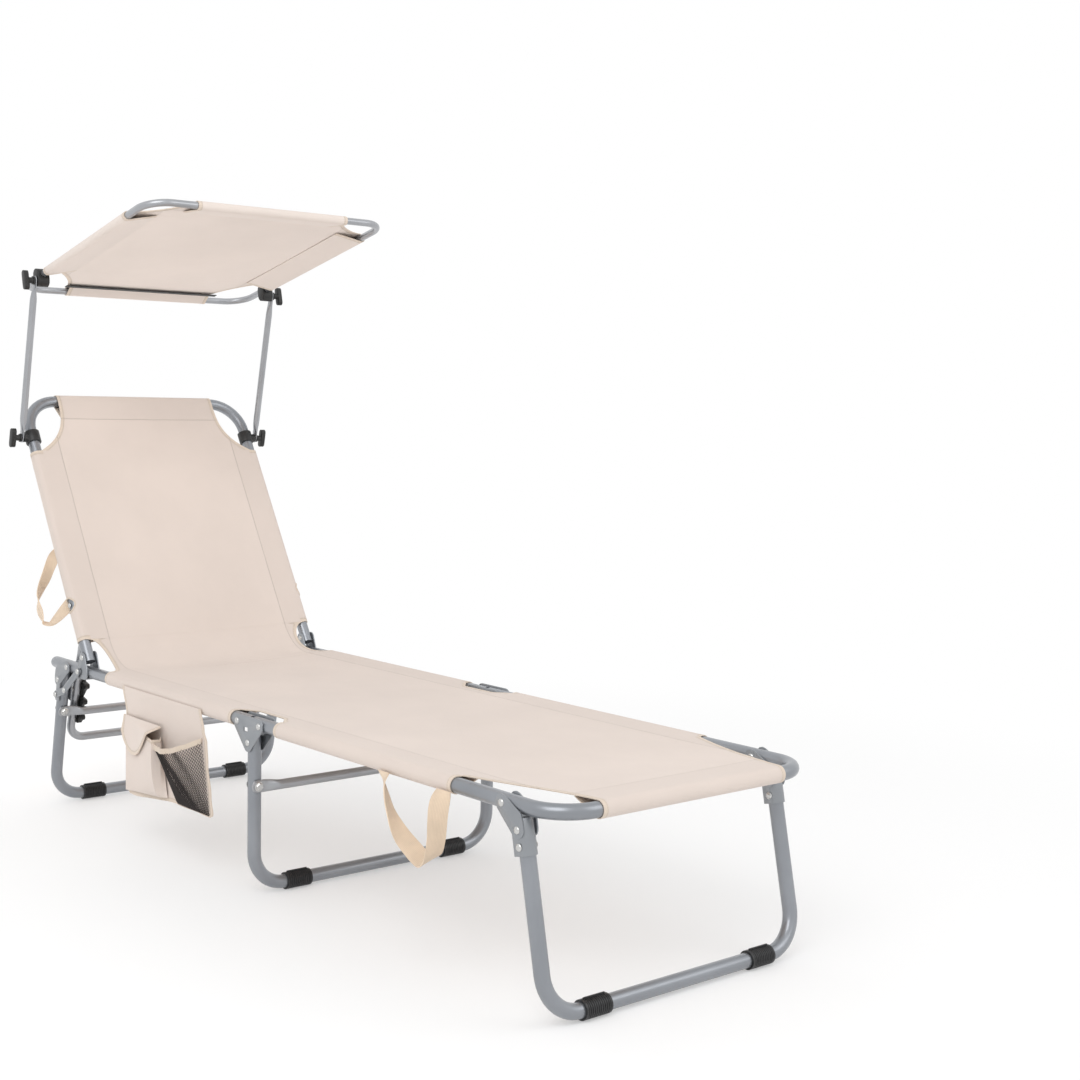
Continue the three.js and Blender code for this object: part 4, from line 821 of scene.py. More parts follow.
def woven_cloth(name, color, tape, thread):
    """Plain weave with faint tone changes, hems darkened by painted shade, bound edges and dashed rows of
    stitches.

    The attribute seam is the distance to the nearest seam, positive on the single layer,
    and edge is the distance to a bound edge.
    """
    material, tree, shader, place = new_material(name)
    cloth_map = wire(tree, "ShaderNodeUVMap", uv_map="cloth").outputs["UV"]
    seam = wire(tree, "ShaderNodeAttribute", attribute_name="seam").outputs["Fac"]
    edge = wire(tree, "ShaderNodeAttribute", attribute_name="edge").outputs["Fac"]
    axes = wire(tree, "ShaderNodeSeparateXYZ", Vector=cloth_map).outputs
    weave = computed(tree, "MULTIPLY", waves(tree, axes["X"], thread), waves(tree, axes["Y"], thread))
    from_tape = computed(tree, "ABSOLUTE", computed(tree, "SUBTRACT", edge, TAPE_STITCH))
    nearest = computed(tree, "MINIMUM", computed(tree, "ABSOLUTE", seam), from_tape)
    line = computed(tree, "LESS_THAN", nearest, STITCH_HALF)
    wave = waves(tree, computed(tree, "ADD", axes["X"], axes["Y"]), STITCH_PITCH)
    stitches = computed(tree, "MULTIPLY", line, computed(tree, "GREATER_THAN", wave, STITCH_LEVEL))
    hem = computed(tree, "LESS_THAN", seam, 0.0)
    taped = computed(tree, "LESS_THAN", edge, TAPE_WIDTH)
    clouds = noise(tree, place, scale=5.0, detail=4.0, roughness=0.6)
    finish = toned(tree, clouds, color, dark=0.965, bright=1.03, ends=(0.3, 0.7))
    # The hem tint is painted shade of the sleeves over the tubes. The tape and stitch tints are their own
    # colours.
    tints = (
        (hem, HEM_PAINTED_SHADE_SHARE, shaded(color, HEM_PAINTED_SHADE_LEVEL)), (taped, TAPE_TINT, (*tape, 1)),
        (stitches, STITCH_TINT, shaded(color, STITCH_SHADE)),
    )
    for where, tint, over in tints:
        finish = tinted(tree, computed(tree, "MULTIPLY", where, tint), finish, over)
    tree.links.new(finish, shader.inputs["Base Color"])
    set_shader(shader, Roughness=0.88, Sheen_Weight=0.15, Sheen_Roughness=0.5, Specular_IOR_Level=0.25)
    crease = noise(tree, place, scale=22.0, detail=3.0)
    height = computed(tree, "MULTIPLY", weave, WEAVE_HEIGHT)
    reliefs = (
        (hem, HEM_RISE), (taped, TAPE_RISE), (stitches, STITCH_RISE), (line, -STITCH_RISE),
        (crease, CREASE_HEIGHT),
    )
    for share, rise in reliefs:
        height = computed(tree, "MULTIPLY_ADD", share, rise, height)
    bumped(tree, shader, height, strength=1.0, distance=1.0)
    return material


def ease(share):
    """Runs smoothly from 0 to 1."""
    share = min(max(share, 0), 1)
    return share * share * (3 - 2 * share)


def cloth_from(name, patches, material, thickness=CLOTH_THICKNESS, offset=-1):
    """A sheet from patches of rows of (point, flat place, seam distance, edge distance).

    Rows run so that the first direction crossed with the second points outwards.
    """
    points, faces, flat, seams, edges = [], [], [], [], []
    for rows in patches:
        width = len(rows[0])
        start = len(points)
        for row in rows:
            for spot, place, seam, edge in row:
                points.append(spot)
                flat.append(place)
                seams.append(seam)
                edges.append(edge)
        for r in range(len(rows) - 1):
            for c in range(width - 1):
                corner = start + r * width + c
                faces.append((corner, corner + width, corner + width + 1, corner + 1))
    data = bpy.data.meshes.new(name)
    data.from_pydata(points, [], faces)
    layer = data.uv_layers.new(name="cloth")
    for loop in data.loops:
        layer.data[loop.index].uv = flat[loop.vertex_index]
    for title, values in (("seam", seams), ("edge", edges)):
        attribute = data.attributes.new(title, "FLOAT", "POINT")
        attribute.data.foreach_set("value", values)
    sheet = add_object(name, data)
    weld(CLOTH_WELD_GAP, outwards=False)
    area = sum(face.area for face in data.polygons)
    wall = sheet.modifiers.new("wall", "SOLIDIFY")
    wall.thickness = thickness
    wall.offset = offset
    bpy.ops.object.modifier_apply(modifier=wall.name)
    return finish_piece(sheet, CLOTH_SMOOTHING, material), area


def wrap_profile(sign, outer, hem):
    """Where a sleeve's cloth passes, from its seam under the panel up to the tube's crown.

    Gives (side, height, length from the crown) about the axis of the tube.
    """
    seam_side = -hem
    seam_height = outer - 2 * CLOTH_THICKNESS - WRAP_GAP
    reach = hypot(seam_side, seam_height)
    tangent = atan2(seam_height, seam_side) + acos(outer / reach)
    spots = [(seam_side, seam_height)]
    first = tangent - 2 * pi
    for step in range(WRAP_STEPS + 1):
        angle = first + (pi / 2 - first) * step / WRAP_STEPS
        spots.append((outer * cos(angle), outer * sin(angle)))
    lengths = [0]
    for before, after in zip(reversed(spots), list(reversed(spots))[1:]):
        lengths.append(lengths[-1] + hypot(before[0] - after[0], before[1] - after[1]))
    lengths.reverse()
    return [(sign * side, height, length) for (side, height), length in zip(spots, lengths)]


def panel_places(half, hem_at):
    """Places across a panel of that half width, closer together near its hems."""
    inner = min(hem_at, half * PANEL_HEM_SHARE)
    places = [inner * step / PANEL_STEPS for step in range(PANEL_STEPS + 1)]
    for step in range(1, PANEL_HEM_STEPS + 1):
        places.append(inner + (half - inner) * step / PANEL_HEM_STEPS)
    return [-place for place in reversed(places[1:])] + places


def sagged(y, track, sag):
    return sag * (1 - min(abs(y) / track, 1) ** 2)


def row_of(spot, half, along, sag, seam_top=SEAM_NONE, edge_at=None, size=sleeve_size):
    """One row of a panel. spot gives a world point from (y, height)."""
    track, outer, hem = size
    row = []
    hem_at = track - hem
    for y in panel_places(half, hem_at):
        seam = min(hem_at - abs(y), seam_top)
        edge = edge_at(abs(y)) if edge_at else SEAM_NONE
        row.append((spot(y, outer - sagged(y, track, sag)), (y, along), seam, edge))
    return row


def between_ends(start, end):
    """Distance along the cloth to the nearer end of a sleeve."""
    def edge_at(along):
        return min(along - start, end - along)
    return edge_at


def beyond_only(distance, beyond):
    """A distance that counts past a half width only, where the end of a sleeve is bound."""
    def edge_at(y):
        return distance if y > beyond else SEAM_NONE
    return edge_at


def eased_places(start, end, steps):
    """Places from start to end, closer together at both."""
    return [start + (end - start) * (1 - cos(pi * step / steps)) / 2 for step in range(steps + 1)]


def end_sleeve(on_place, end, half, hem, way, along_way, size=sleeve_size):
    """Rows round an end tube, from the crown outwards and back to the seam under the panel.

    way is the side on which the tube's outside lies, and along_way how lengths run.
    """
    track, outer, side_hem = size
    rows = []
    for side, height, length in wrap_profile(way, outer, hem):
        along = along_way * (end + way * length)
        row = []
        for y in panel_places(half, track - side_hem):
            row.append((on_place(end + side)(y, height), (y, along), SEAM_DOUBLED, half - abs(y)))
        rows.append(row)
    if way * along_way > 0:
        rows.reverse()
    return rows


def sleeve_rows(stations, sign, edge_at, size=sleeve_size):
    """Rows round a side tube between two ends of a sleeve."""
    track, outer, hem = size
    rows = []
    for spot, along in stations:
        row = []
        for side, height, length in wrap_profile(sign, outer, hem):
            place = (sign * (track + length), along)
            row.append((spot(sign * track + side, height), place, SEAM_DOUBLED, edge_at(along)))
        if sign > 0:
            row.reverse()
        rows.append(row)
    return rows


def cut_edge(half, slope):
    """Distance to a cut-away edge whose half width changes by slope along the cloth."""
    steep = hypot(1, slope)

    def edge_at(y):
        return (half - y) / steep
    return edge_at


def on_back(up):
    def spot(y, height):
        return back_place @ Vector((-up, y, height))
    return spot


def on_seat(x):
    def spot(y, height):
        return Vector((x, MIDDLE_Y + y, RAIL_HEIGHT + height))
    return spot


def crook_path(steps):
    """Points and normals from the backrest sleeves down, round the crook, to the seat sleeves."""
    lean = radians(90 - BACK_TURN)
    up = Vector((-sin(lean), 0, cos(lean)))
    normal = Vector((cos(lean), 0, sin(lean)))
    pivot = Vector((BACK_PIVOT_X, MIDDLE_Y, BACK_PIVOT_Z))
    meet_up = (RAIL_HEIGHT + CLOTH_OUTER - pivot.z - normal.z * CLOTH_OUTER) / up.z
    meet = pivot + up * meet_up + normal * CLOTH_OUTER
    between = radians(BACK_TURN)
    reach = CROOK_RADIUS * sin(between / 2) / cos(between / 2)
    centre = meet + up * reach + normal * CROOK_RADIUS
    top = SLEEVE_START - SLEEVE_GAP
    first = top - meet_up - reach
    curl = CROOK_RADIUS * between
    last = SEAT_SLEEVE_BACK - (meet.x + reach)
    total = first + curl + last
    stations = []
    for step in range(steps + 1):
        share = (1 - cos(pi * step / steps)) / 2
        gone = total * share
        if gone < first:
            foot = meet + up * (reach + first - gone)
            facing = normal
        elif gone < first + curl:
            facing = Matrix.Rotation(-(gone - first) / CROOK_RADIUS, 3, "Y") @ normal
            foot = centre - facing * CROOK_RADIUS
        else:
            facing = Vector((0, 0, 1))
            foot = Vector((meet.x + reach + gone - first - curl, MIDDLE_Y, meet.z))
        stations.append((foot, facing, share, top - gone))
    return stations, total


def crook_half(share):
    """Half width at a share of the crook. It is narrowest low down, near the seat sleeves."""
    fall, rise = CROOK_POWERS
    share = min(max(share, 0), 1)
    deepest = fall / (fall + rise)
    full = deepest ** fall * (1 - deepest) ** rise
    return RAIL_TRACK - CROOK_DEPTH * share ** fall * (1 - share) ** rise / full


def crook_spot(foot, normal):
    def spot(y, height):
        return foot + normal * (height - CLOTH_OUTER) + Vector((0, y, 0))
    return spot


def top_corner(share):
    """Half width and its slope along a cut-away top corner, from the sleeve's end up."""
    room = (RAIL_TRACK - TOP_SLEEVE_HALF) * TOP_CORNER_START
    half = TOP_SLEEVE_HALF + room * (1 - share) ** TOP_CORNER_POWER
    slope = room * TOP_CORNER_POWER * (1 - share) ** (TOP_CORNER_POWER - 1) / (BACK_LENGTH - SLEEVE_END)
    return half, slope


cloth = woven_cloth("cream_cloth", CLOTH_CREAM, TAPE_BEIGE, THREAD_PITCH)

back_rows = []
corner_top = BACK_LENGTH - SLEEVE_END - TOP_CORNER_GAP
for step in range(TOP_CORNER_STEPS + 1):
    share = (1 - step / TOP_CORNER_STEPS) ** TOP_CORNER_CROWD
    up = SLEEVE_END + TOP_CORNER_GAP + corner_top * share
    half, slope = top_corner(share)
    sag = CLOTH_SAG * (1 - ease(share))
    seam = BACK_LENGTH - HEM_WIDTH - up
    back_rows.append(row_of(on_back(up), half, -up, sag, seam, cut_edge(half, slope)))
back_ends = between_ends(-SLEEVE_END, -SLEEVE_START)
sleeve_stations = []
for up in eased_places(SLEEVE_END, SLEEVE_START, SLEEVE_STEPS):
    bound = beyond_only(back_ends(-up), RAIL_TRACK - CLOTH_OUTER)
    seam = BACK_LENGTH - HEM_WIDTH - up
    back_rows.append(row_of(on_back(up), RAIL_TRACK, -up, CLOTH_SAG, seam, bound))
    sleeve_stations.append((on_back(up), -up))
crook, crook_total = crook_path(CROOK_STEPS)
for foot, normal, share, up in crook:
    half = crook_half(share)
    change = crook_half(share + CROOK_SLOPE_SHARE) - crook_half(share - CROOK_SLOPE_SHARE)
    bound = cut_edge(half, change / (2 * CROOK_SLOPE_SHARE * crook_total))
    back_rows.append(row_of(crook_spot(foot, normal), half, -up, CLOTH_SAG, SEAM_NONE, bound))
patches = [back_rows] + [sleeve_rows(sleeve_stations, sign, back_ends) for sign in SIDES.values()]
patches.append(end_sleeve(on_back, BACK_LENGTH, TOP_SLEEVE_HALF, HEM_WIDTH, 1, -1))
back_cloth, back_area = cloth_from("backrest_cloth", patches, cloth)

# An oval window in each sleeve clears the rivet of the ratchet bar, and is bound with tape.
window_tapes = []
for side, sign in SIDES.items():
    bpy.ops.object.select_all(action="DESELECT")
    bpy.ops.mesh.primitive_cylinder_add(vertices=WINDOW_SIDES, radius=1, depth=1)
    punch = bpy.context.object
    centre = back_place @ Matrix.Translation((-WINDOW_UP, sign * (RAIL_TRACK + CLOTH_OUTER), 0))
    shape = Matrix.Diagonal((WINDOW_TALL, WINDOW_WIDE, WINDOW_DEEP, 1))
    punch.data.transform(centre @ Matrix.Rotation(pi / 2, 4, "X") @ shape)
    hole = back_cloth.modifiers.new("window", "BOOLEAN")
    hole.operation = "DIFFERENCE"
    hole.solver = "EXACT"
    hole.object = punch
    pick(back_cloth)
    bpy.ops.object.modifier_apply(modifier=hole.name)
    bpy.data.objects.remove(punch)
    rim = []
    for step in range(WINDOW_TAPE_STEPS):
        angle = 2 * pi * step / WINDOW_TAPE_STEPS
        wide = WINDOW_WIDE * sin(angle)
        reach = (CLOTH_OUTER ** 2 - wide ** 2) ** 0.5
        spot = Vector((-WINDOW_UP + WINDOW_TALL * cos(angle), sign * (RAIL_TRACK + reach), wide))
        rim.append(back_place @ spot)
    window_tapes.append((side, rim))
bpy.ops.object.shade_smooth_by_angle(angle=radians(CLOTH_SMOOTHING))

fix(back_cloth, None, "cream_cloth", "backrest_sling")
blend_start = tuple(crook[int(CROOK_STEPS * CROOK_BLEND_SHARE)][0])
blend_end = tuple(on_back(SLEEVE_START)(0, CLOTH_OUTER))
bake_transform(back_cloth)


def tape_weave(name, color):
    """Narrow woven tape with fine ribs across it."""
    material, tree, shader, place = new_material(name)
    ribs = wire(tree, "ShaderNodeTexWave", Vector=place, Scale=260.0, Distortion=1.5, Detail=1.0)
    tone = toned(tree, ribs.outputs["Fac"], color, dark=0.86, bright=1)
    tree.links.new(tone, shader.inputs["Base Color"])
    set_shader(shader, Roughness=0.85, Sheen_Weight=0.2)
    bumped(tree, shader, ribs.outputs["Fac"], strength=0.4, distance=0.0002)
    return material


tape = tape_weave("beige_tape", TAPE_BEIGE)
for side, rim in window_tapes:
    ring = round_tube(f"window_tape_{side}", rim, WINDOW_TAPE, tape, closed=True)
    fix(ring, "backrest", "cream_cloth")


# Seat cloth
# The same cloth goes on between the seat rails, in hemmed sleeves, and narrows to pass the
# middle hinge.
SEAT_SLEEVE_FRONT = 0.01965
BRIDGE_X = 0.07665
HINGE_NECK = 0.212
HINGE_SHOULDER = 0.23
NECK_EASE = 2.2
NECK_STEPS = 8
STATION_STEP = 0.02


def neck_row(x, share, spot, along, seam_top=SEAM_NONE):
    """A row beside the middle hinge. share runs from the sleeve's end to the narrow neck."""
    half = HINGE_NECK + (HINGE_SHOULDER - HINGE_NECK) * (1 - ease(share * NECK_EASE))
    return row_of(spot, half, along, CLOTH_SAG, seam_top, cut_edge(half, 0))


seat_ends = between_ends(SEAT_SLEEVE_BACK, SEAT_SLEEVE_FRONT)
seat_rows = []
seat_sleeves = []
count = int((SEAT_SLEEVE_FRONT - SEAT_SLEEVE_BACK) / STATION_STEP) + 1
for x in eased_places(SEAT_SLEEVE_BACK + SLEEVE_GAP, SEAT_SLEEVE_FRONT, count):
    bound = beyond_only(seat_ends(x), HINGE_SHOULDER)
    seat_rows.append(row_of(on_seat(x), RAIL_TRACK, x, CLOTH_SAG, SEAM_NONE, bound))
    seat_sleeves.append((on_seat(x), x))
neck_start = SEAT_SLEEVE_FRONT + SLEEVE_GAP
for step in range(NECK_STEPS + 1):
    share = step / NECK_STEPS
    x = neck_start + (BRIDGE_X - neck_start) * share
    seat_rows.append(neck_row(x, share, on_seat(x), x))
patches = [seat_rows] + [sleeve_rows(seat_sleeves, sign, seat_ends) for sign in SIDES.values()]
seat_cloth, seat_area = cloth_from("seat_cloth", patches, cloth)
fix(seat_cloth, None, "cream_cloth", "seat_sling", "hinge_sling")
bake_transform(seat_cloth)


# Foot cloth
# It starts over the middle leg, runs in hemmed sleeves along the foot frame, and ends in a
# sleeve over the front tube, with its corners cut away in curves and bound.
FOOT_SLEEVE_START = 0.15265
FOOT_SLEEVE_END = 0.60715
FRONT_SLEEVE_HALF = 0.174
FOOT_CORNER_POWER = 1.35
FOOT_CORNER_START = 0.85
FOOT_CORNER_STEPS = 21


def front_seam(x):
    """Distance to the seam of the front sleeve."""
    return FOOT_TUBE_FRONT - HEM_WIDTH - x


foot_ends = between_ends(FOOT_SLEEVE_START, FOOT_SLEEVE_END)
foot_rows = []
foot_sleeves = []
neck_end = FOOT_SLEEVE_START - SLEEVE_GAP
for step in range(NECK_STEPS + 1):
    share = step / NECK_STEPS
    x = BRIDGE_X + (neck_end - BRIDGE_X) * share
    foot_rows.append(neck_row(x, 1 - share, on_seat(x), x, front_seam(x)))
count = int((FOOT_SLEEVE_END - FOOT_SLEEVE_START) / STATION_STEP) + 1
for x in eased_places(FOOT_SLEEVE_START, FOOT_SLEEVE_END, count):
    bound = beyond_only(foot_ends(x), HINGE_SHOULDER)
    foot_rows.append(row_of(on_seat(x), RAIL_TRACK, x, CLOTH_SAG, front_seam(x), bound))
    foot_sleeves.append((on_seat(x), x))
corner_length = FOOT_TUBE_FRONT - FOOT_SLEEVE_END
corner_room = (RAIL_TRACK - FRONT_SLEEVE_HALF) * FOOT_CORNER_START
for step in range(FOOT_CORNER_STEPS + 1):
    share = step / FOOT_CORNER_STEPS
    x = FOOT_SLEEVE_END + SLEEVE_GAP + (corner_length - SLEEVE_GAP) * share
    half = FRONT_SLEEVE_HALF + corner_room * (1 - share) ** FOOT_CORNER_POWER
    slope = corner_room * FOOT_CORNER_POWER * (1 - share) ** (FOOT_CORNER_POWER - 1) / corner_length
    sag = CLOTH_SAG * (1 - ease(share))
    foot_rows.append(row_of(on_seat(x), half, x, sag, front_seam(x), cut_edge(half, slope)))
patches = [foot_rows] + [sleeve_rows(foot_sleeves, sign, foot_ends) for sign in SIDES.values()]
patches.append(end_sleeve(on_seat, FOOT_TUBE_FRONT, FRONT_SLEEVE_HALF, HEM_WIDTH, 1, 1))
foot_cloth, foot_area = cloth_from("foot_cloth", patches, cloth)
fix(foot_cloth, None, "cream_cloth", "foot_sling")
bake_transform(foot_cloth)


# Canopy cloth
# The same cloth in a paler tone, which paints in the brighter light that falls on the canopy,
# stretched over the frame in four sleeves. Its corners are cut away in round bights, and a
# black strip runs along the seam of the rear sleeve.
CANOPY_OUTER = 0.0083
CANOPY_HEM = 0.057
CANOPY_REAR_HEM = 0.024
CANOPY_FRONT_HEM = 0.05
CANOPY_SLEEVE_REAR = 0.026
CANOPY_SLEEVE_FRONT = 0.372
CANOPY_SLEEVE_HALF = 0.155
CANOPY_BIGHT_POWER = 1.5
CANOPY_BIGHT_END = 0.0001
CANOPY_BIGHT_STEPS = 14
CANOPY_SLEEVE_STEPS = 18
CANOPY_SAG = 0.005
# Painted light: a paler copy of the cream cloth for the brighter light on the canopy.
CANOPY_LIT_CREAM = (0.8, 0.71, 0.65)
STRIP_WIDTH = 0.01
STRIP_PAST = 0.012
STRIP_STEPS = 24
STRIP_LAYERS_DOWN = 4
STRIP_BLACK = (0.014, 0.013, 0.013)
canopy_size = (CANOPY_TRACK, CANOPY_OUTER, CANOPY_HEM)


def on_canopy(x):
    def spot(y, height):
        return canopy_place @ Vector((x, y, CANOPY_RISE + height))
    return spot


def bight(share):
    """Half width and slope along a cut-away corner, from the end tube to the side sleeve."""
    left = max(1 - share ** CANOPY_BIGHT_POWER, CANOPY_BIGHT_END)
    half = CANOPY_TRACK - (CANOPY_TRACK - CANOPY_SLEEVE_HALF) * left ** (1 / CANOPY_BIGHT_POWER)
    slope = left ** (1 / CANOPY_BIGHT_POWER - 1) * share ** (CANOPY_BIGHT_POWER - 1)
    return half, slope


def canopy_row(x, half, edge_at):
    seam_top = min(x - CANOPY_BACK - CANOPY_REAR_HEM, CANOPY_FRONT - CANOPY_FRONT_HEM - x)
    middle = 1 - abs(2 * (x - CANOPY_BACK) / (CANOPY_FRONT - CANOPY_BACK) - 1) ** 2
    return row_of(on_canopy(x), half, x, CANOPY_SAG * middle, seam_top, edge_at, canopy_size)


def bight_rows(end, reach):
    """Rows over the cut-away corners at one end, from its tube to the side sleeves."""
    rows = []
    for step in range(CANOPY_BIGHT_STEPS + 1):
        share = sin(pi / 2 * step / CANOPY_BIGHT_STEPS)
        half, slope = bight(share)
        rows.append(canopy_row(end + reach * share, half, cut_edge(half, slope)))
    return rows


canopy_ends = between_ends(CANOPY_SLEEVE_REAR, CANOPY_SLEEVE_FRONT)
canopy_rows = bight_rows(CANOPY_BACK, CANOPY_SLEEVE_REAR - CANOPY_BACK - SLEEVE_GAP)
canopy_sleeves = []
for x in eased_places(CANOPY_SLEEVE_REAR, CANOPY_SLEEVE_FRONT, CANOPY_SLEEVE_STEPS):
    canopy_rows.append(canopy_row(x, CANOPY_TRACK, None))
    canopy_sleeves.append((on_canopy(x), x))
canopy_rows += reversed(bight_rows(CANOPY_FRONT, CANOPY_SLEEVE_FRONT + SLEEVE_GAP - CANOPY_FRONT))
patches = [canopy_rows]
for sign in SIDES.values():
    patches.append(sleeve_rows(canopy_sleeves, sign, canopy_ends, canopy_size))
for end, hem, way in ((CANOPY_BACK, CANOPY_REAR_HEM, -1), (CANOPY_FRONT, CANOPY_FRONT_HEM, 1)):
    patches.append(end_sleeve(on_canopy, end, CANOPY_SLEEVE_HALF, hem, way, 1, canopy_size))
# Painted light: the canopy cloth is a paler copy of the cream cloth, for the light that falls on it.
sky_cloth = woven_cloth("canopy_lit_cream_cloth", CANOPY_LIT_CREAM, TAPE_BEIGE, THREAD_PITCH)
canopy_cloth, canopy_area = cloth_from("canopy_sheet", patches, sky_cloth)
fix(canopy_cloth, "canopy", "cream_cloth", "canopy_cloth")

strip_black = tape_weave("black_strip", STRIP_BLACK)
strip_height = CANOPY_OUTER - STRIP_LAYERS_DOWN * CLOTH_THICKNESS
rows = []
for far in (0, STRIP_WIDTH):
    row = []
    for step in range(STRIP_STEPS + 1):
        y = (CANOPY_SLEEVE_HALF + STRIP_PAST) * (2 * step / STRIP_STEPS - 1)
        spot = on_canopy(CANOPY_BACK + CANOPY_REAR_HEM + far)(y, strip_height)
        row.append((spot, (y, far), SEAM_NONE, SEAM_NONE))
    rows.append(row)
strip, strip_area = cloth_from("canopy_strip", [rows], strip_black)
fix(strip, "canopy", "black_net")


# Storage pocket
# A cloth panel sewn into the right seat sleeve. It carries a deep pouch under a rounded flap
# and, beside that, a black net pouch that hangs open. All free edges are bound with tape.
PANEL_TOP = 0.282
PANEL_BOTTOM = 0.106
PANEL_BOTTOM_DROP = 0.015
PANEL_LEFT_EDGE = ((0, -0.356), (0.25, -0.341), (0.45, -0.344), (0.8, -0.341), (1, -0.338))
PANEL_RIGHT_EDGE = (
    (0, -0.0715), (0.2, -0.06), (0.3, -0.051), (0.5, -0.047), (0.8, -0.036), (1, -0.0285),
)
PANEL_FACE = -0.2335
PANEL_STAND = 0.001
PANEL_CORNER = 0.009
PANEL_SEAM = 0.2335
PANEL_DROP_SHARE = 0.62
PANEL_CELLS = (64, 48)
RIPPLE_DEPTH = 0.0011
RIPPLE_TURNS = (75, 18)
RIPPLE_EASE = 2
PATCH_STAND = 0.0035
POUCH_LEFT = -0.339
POUCH_FOLD = -0.194
POUCH_CREASE = -0.189
POUCH_RIGHT = (-0.206, -0.182)
POUCH_TOP = (0.222, 0.213)
POUCH_BOTTOM = (0.096, 0.111)
POUCH_DEPTH = 0.025
POUCH_TAPER = (0.55, 4)
POUCH_SLOPE_SHARE = 0.8
POUCH_FOLD_SHARE = 0.7
POUCH_CREASE_SHARE = 0.86
POUCH_CREASE_DEPTH_SHARE = 0.38
POUCH_SWELL = 0.002
POUCH_HEM_SHARE = 0.93
POUCH_HEM_PULL = 0.35
POUCH_CELLS = (50, 30)
FLAP_LEFT = -0.3395
FLAP_BULGE = 0.006
FLAP_RIGHT = -0.2
FLAP_TOP = 0.2335
FLAP_DROP = 0.065
FLAP_SHARES = (
    (0, 0.45), (0.06, 0.72), (0.16, 0.92), (0.3, 1), (0.45, 0.97),
    (0.6, 0.84), (0.75, 0.6), (0.88, 0.33), (1, 0.06),
)
FLAP_CLEARANCE = 0.0035
FLAP_THICKNESS = 0.0022
FLAP_STAND_START = 0.1
FLAP_STAND_RATE = 4.8
FLAP_CURL = 0.003
FLAP_CURL_POWER = 3
FLAP_SLOPE_SHARE = 0.04
FLAP_CELLS = (44, 24)
NET_LEFT = (-0.203, -0.146)
NET_RIGHT = (-0.0625, -0.036)
NET_RIM = (0.202, 0.231)
NET_SIDE_STAND = 0.014
NET_SAG = 0.012
NET_BOTTOM = 0.1085
NET_BULGE = 0.023
NET_BULGE_POWERS = (0.75, 0.7)
NET_FOLD_DEPTH = 0.0025
NET_FOLD_TURNS = (21, 8)
NET_CELLS = (27, 19)
NET_STRAND = 0.0013
NET_BLACK = (0.022, 0.017, 0.016)
NET_RIM_HIGH = 0.009
NET_RIM_STAND = 0.001
NET_RIM_THICKNESS = 0.0022
NET_RIM_CELLS = (40, 4)
PLEAT_LEFT = (0.04, 0.1)
PLEAT_WIDTH = (0.3, 0.55)
PLEAT_CELLS = (7, 13)
PLEAT_GAP = 0.004


def hung_sheet(name, spot, cells, edge_at, material, thickness=CLOTH_THICKNESS, seam_at=None):
    """A sheet whose point at (share across, share down) is given by spot."""
    across, down = cells
    rows = []
    for step in range(down + 1):
        row = []
        for column in range(across + 1):
            place = spot(column / across, step / down)
            seam = seam_at(place) if seam_at else SEAM_NONE
            row.append((place, (place.x, place.z), seam, edge_at(column / across, step / down)))
        rows.append(row)
    return cloth_from(name, [rows], material, thickness)


def span(ends, share):
    """The value at a share of the way between two ends."""
    return ends[0] + (ends[1] - ends[0]) * share


def along_table(table, position):
    """A smooth value from a table of (position, value)."""
    for (start, first), (end, last) in zip(table, table[1:]):
        if position <= end:
            return first + (last - first) * ease((position - start) / (end - start))
    return table[-1][1]


def panel_spot(share, low):
    """The panel's lower edge hangs deeper under the pouch, and its lower corners are round."""
    bottom = PANEL_BOTTOM - PANEL_BOTTOM_DROP * (1 - ease(share / PANEL_DROP_SHARE))
    z = PANEL_TOP + (bottom - PANEL_TOP) * low
    from_end = PANEL_CORNER - min(z - bottom, PANEL_CORNER)
    inset = PANEL_CORNER - max(PANEL_CORNER ** 2 - from_end ** 2, 0) ** 0.5
    left = along_table(PANEL_LEFT_EDGE, low) + inset
    right = along_table(PANEL_RIGHT_EDGE, low) - inset
    x = span((left, right), share)
    ripple = sin(x * RIPPLE_TURNS[0] + z * RIPPLE_TURNS[1]) * ease(low * RIPPLE_EASE)
    return Vector((x, PANEL_FACE - PANEL_STAND + RIPPLE_DEPTH * ripple, z))


def panel_edge(share, low):
    spot = panel_spot(share, low)
    to_side = min(spot.x - panel_spot(0, low).x, panel_spot(1, low).x - spot.x)
    return min(to_side, spot.z - panel_spot(share, 1).z)


def panel_seam(spot):
    return abs(spot.z - PANEL_SEAM) if spot.x < POUCH_RIGHT[0] else SEAM_NONE


pocket_panel, area = hung_sheet(
    "pocket_cloth", panel_spot, PANEL_CELLS, panel_edge, cloth, seam_at=panel_seam,
)
fix(pocket_panel, "seat", "cream_cloth", "pocket_panel")


def pouch_depth(x, low):
    """How far the pouch stands off the panel, deepest at its right fold."""
    deep = POUCH_DEPTH * (1 - POUCH_TAPER[0] * low ** POUCH_TAPER[1])
    if x < POUCH_FOLD:
        slope = (x - POUCH_LEFT) / (POUCH_FOLD - POUCH_LEFT) * POUCH_SLOPE_SHARE
        return deep * ease(slope) / ease(POUCH_SLOPE_SHARE)
    return deep


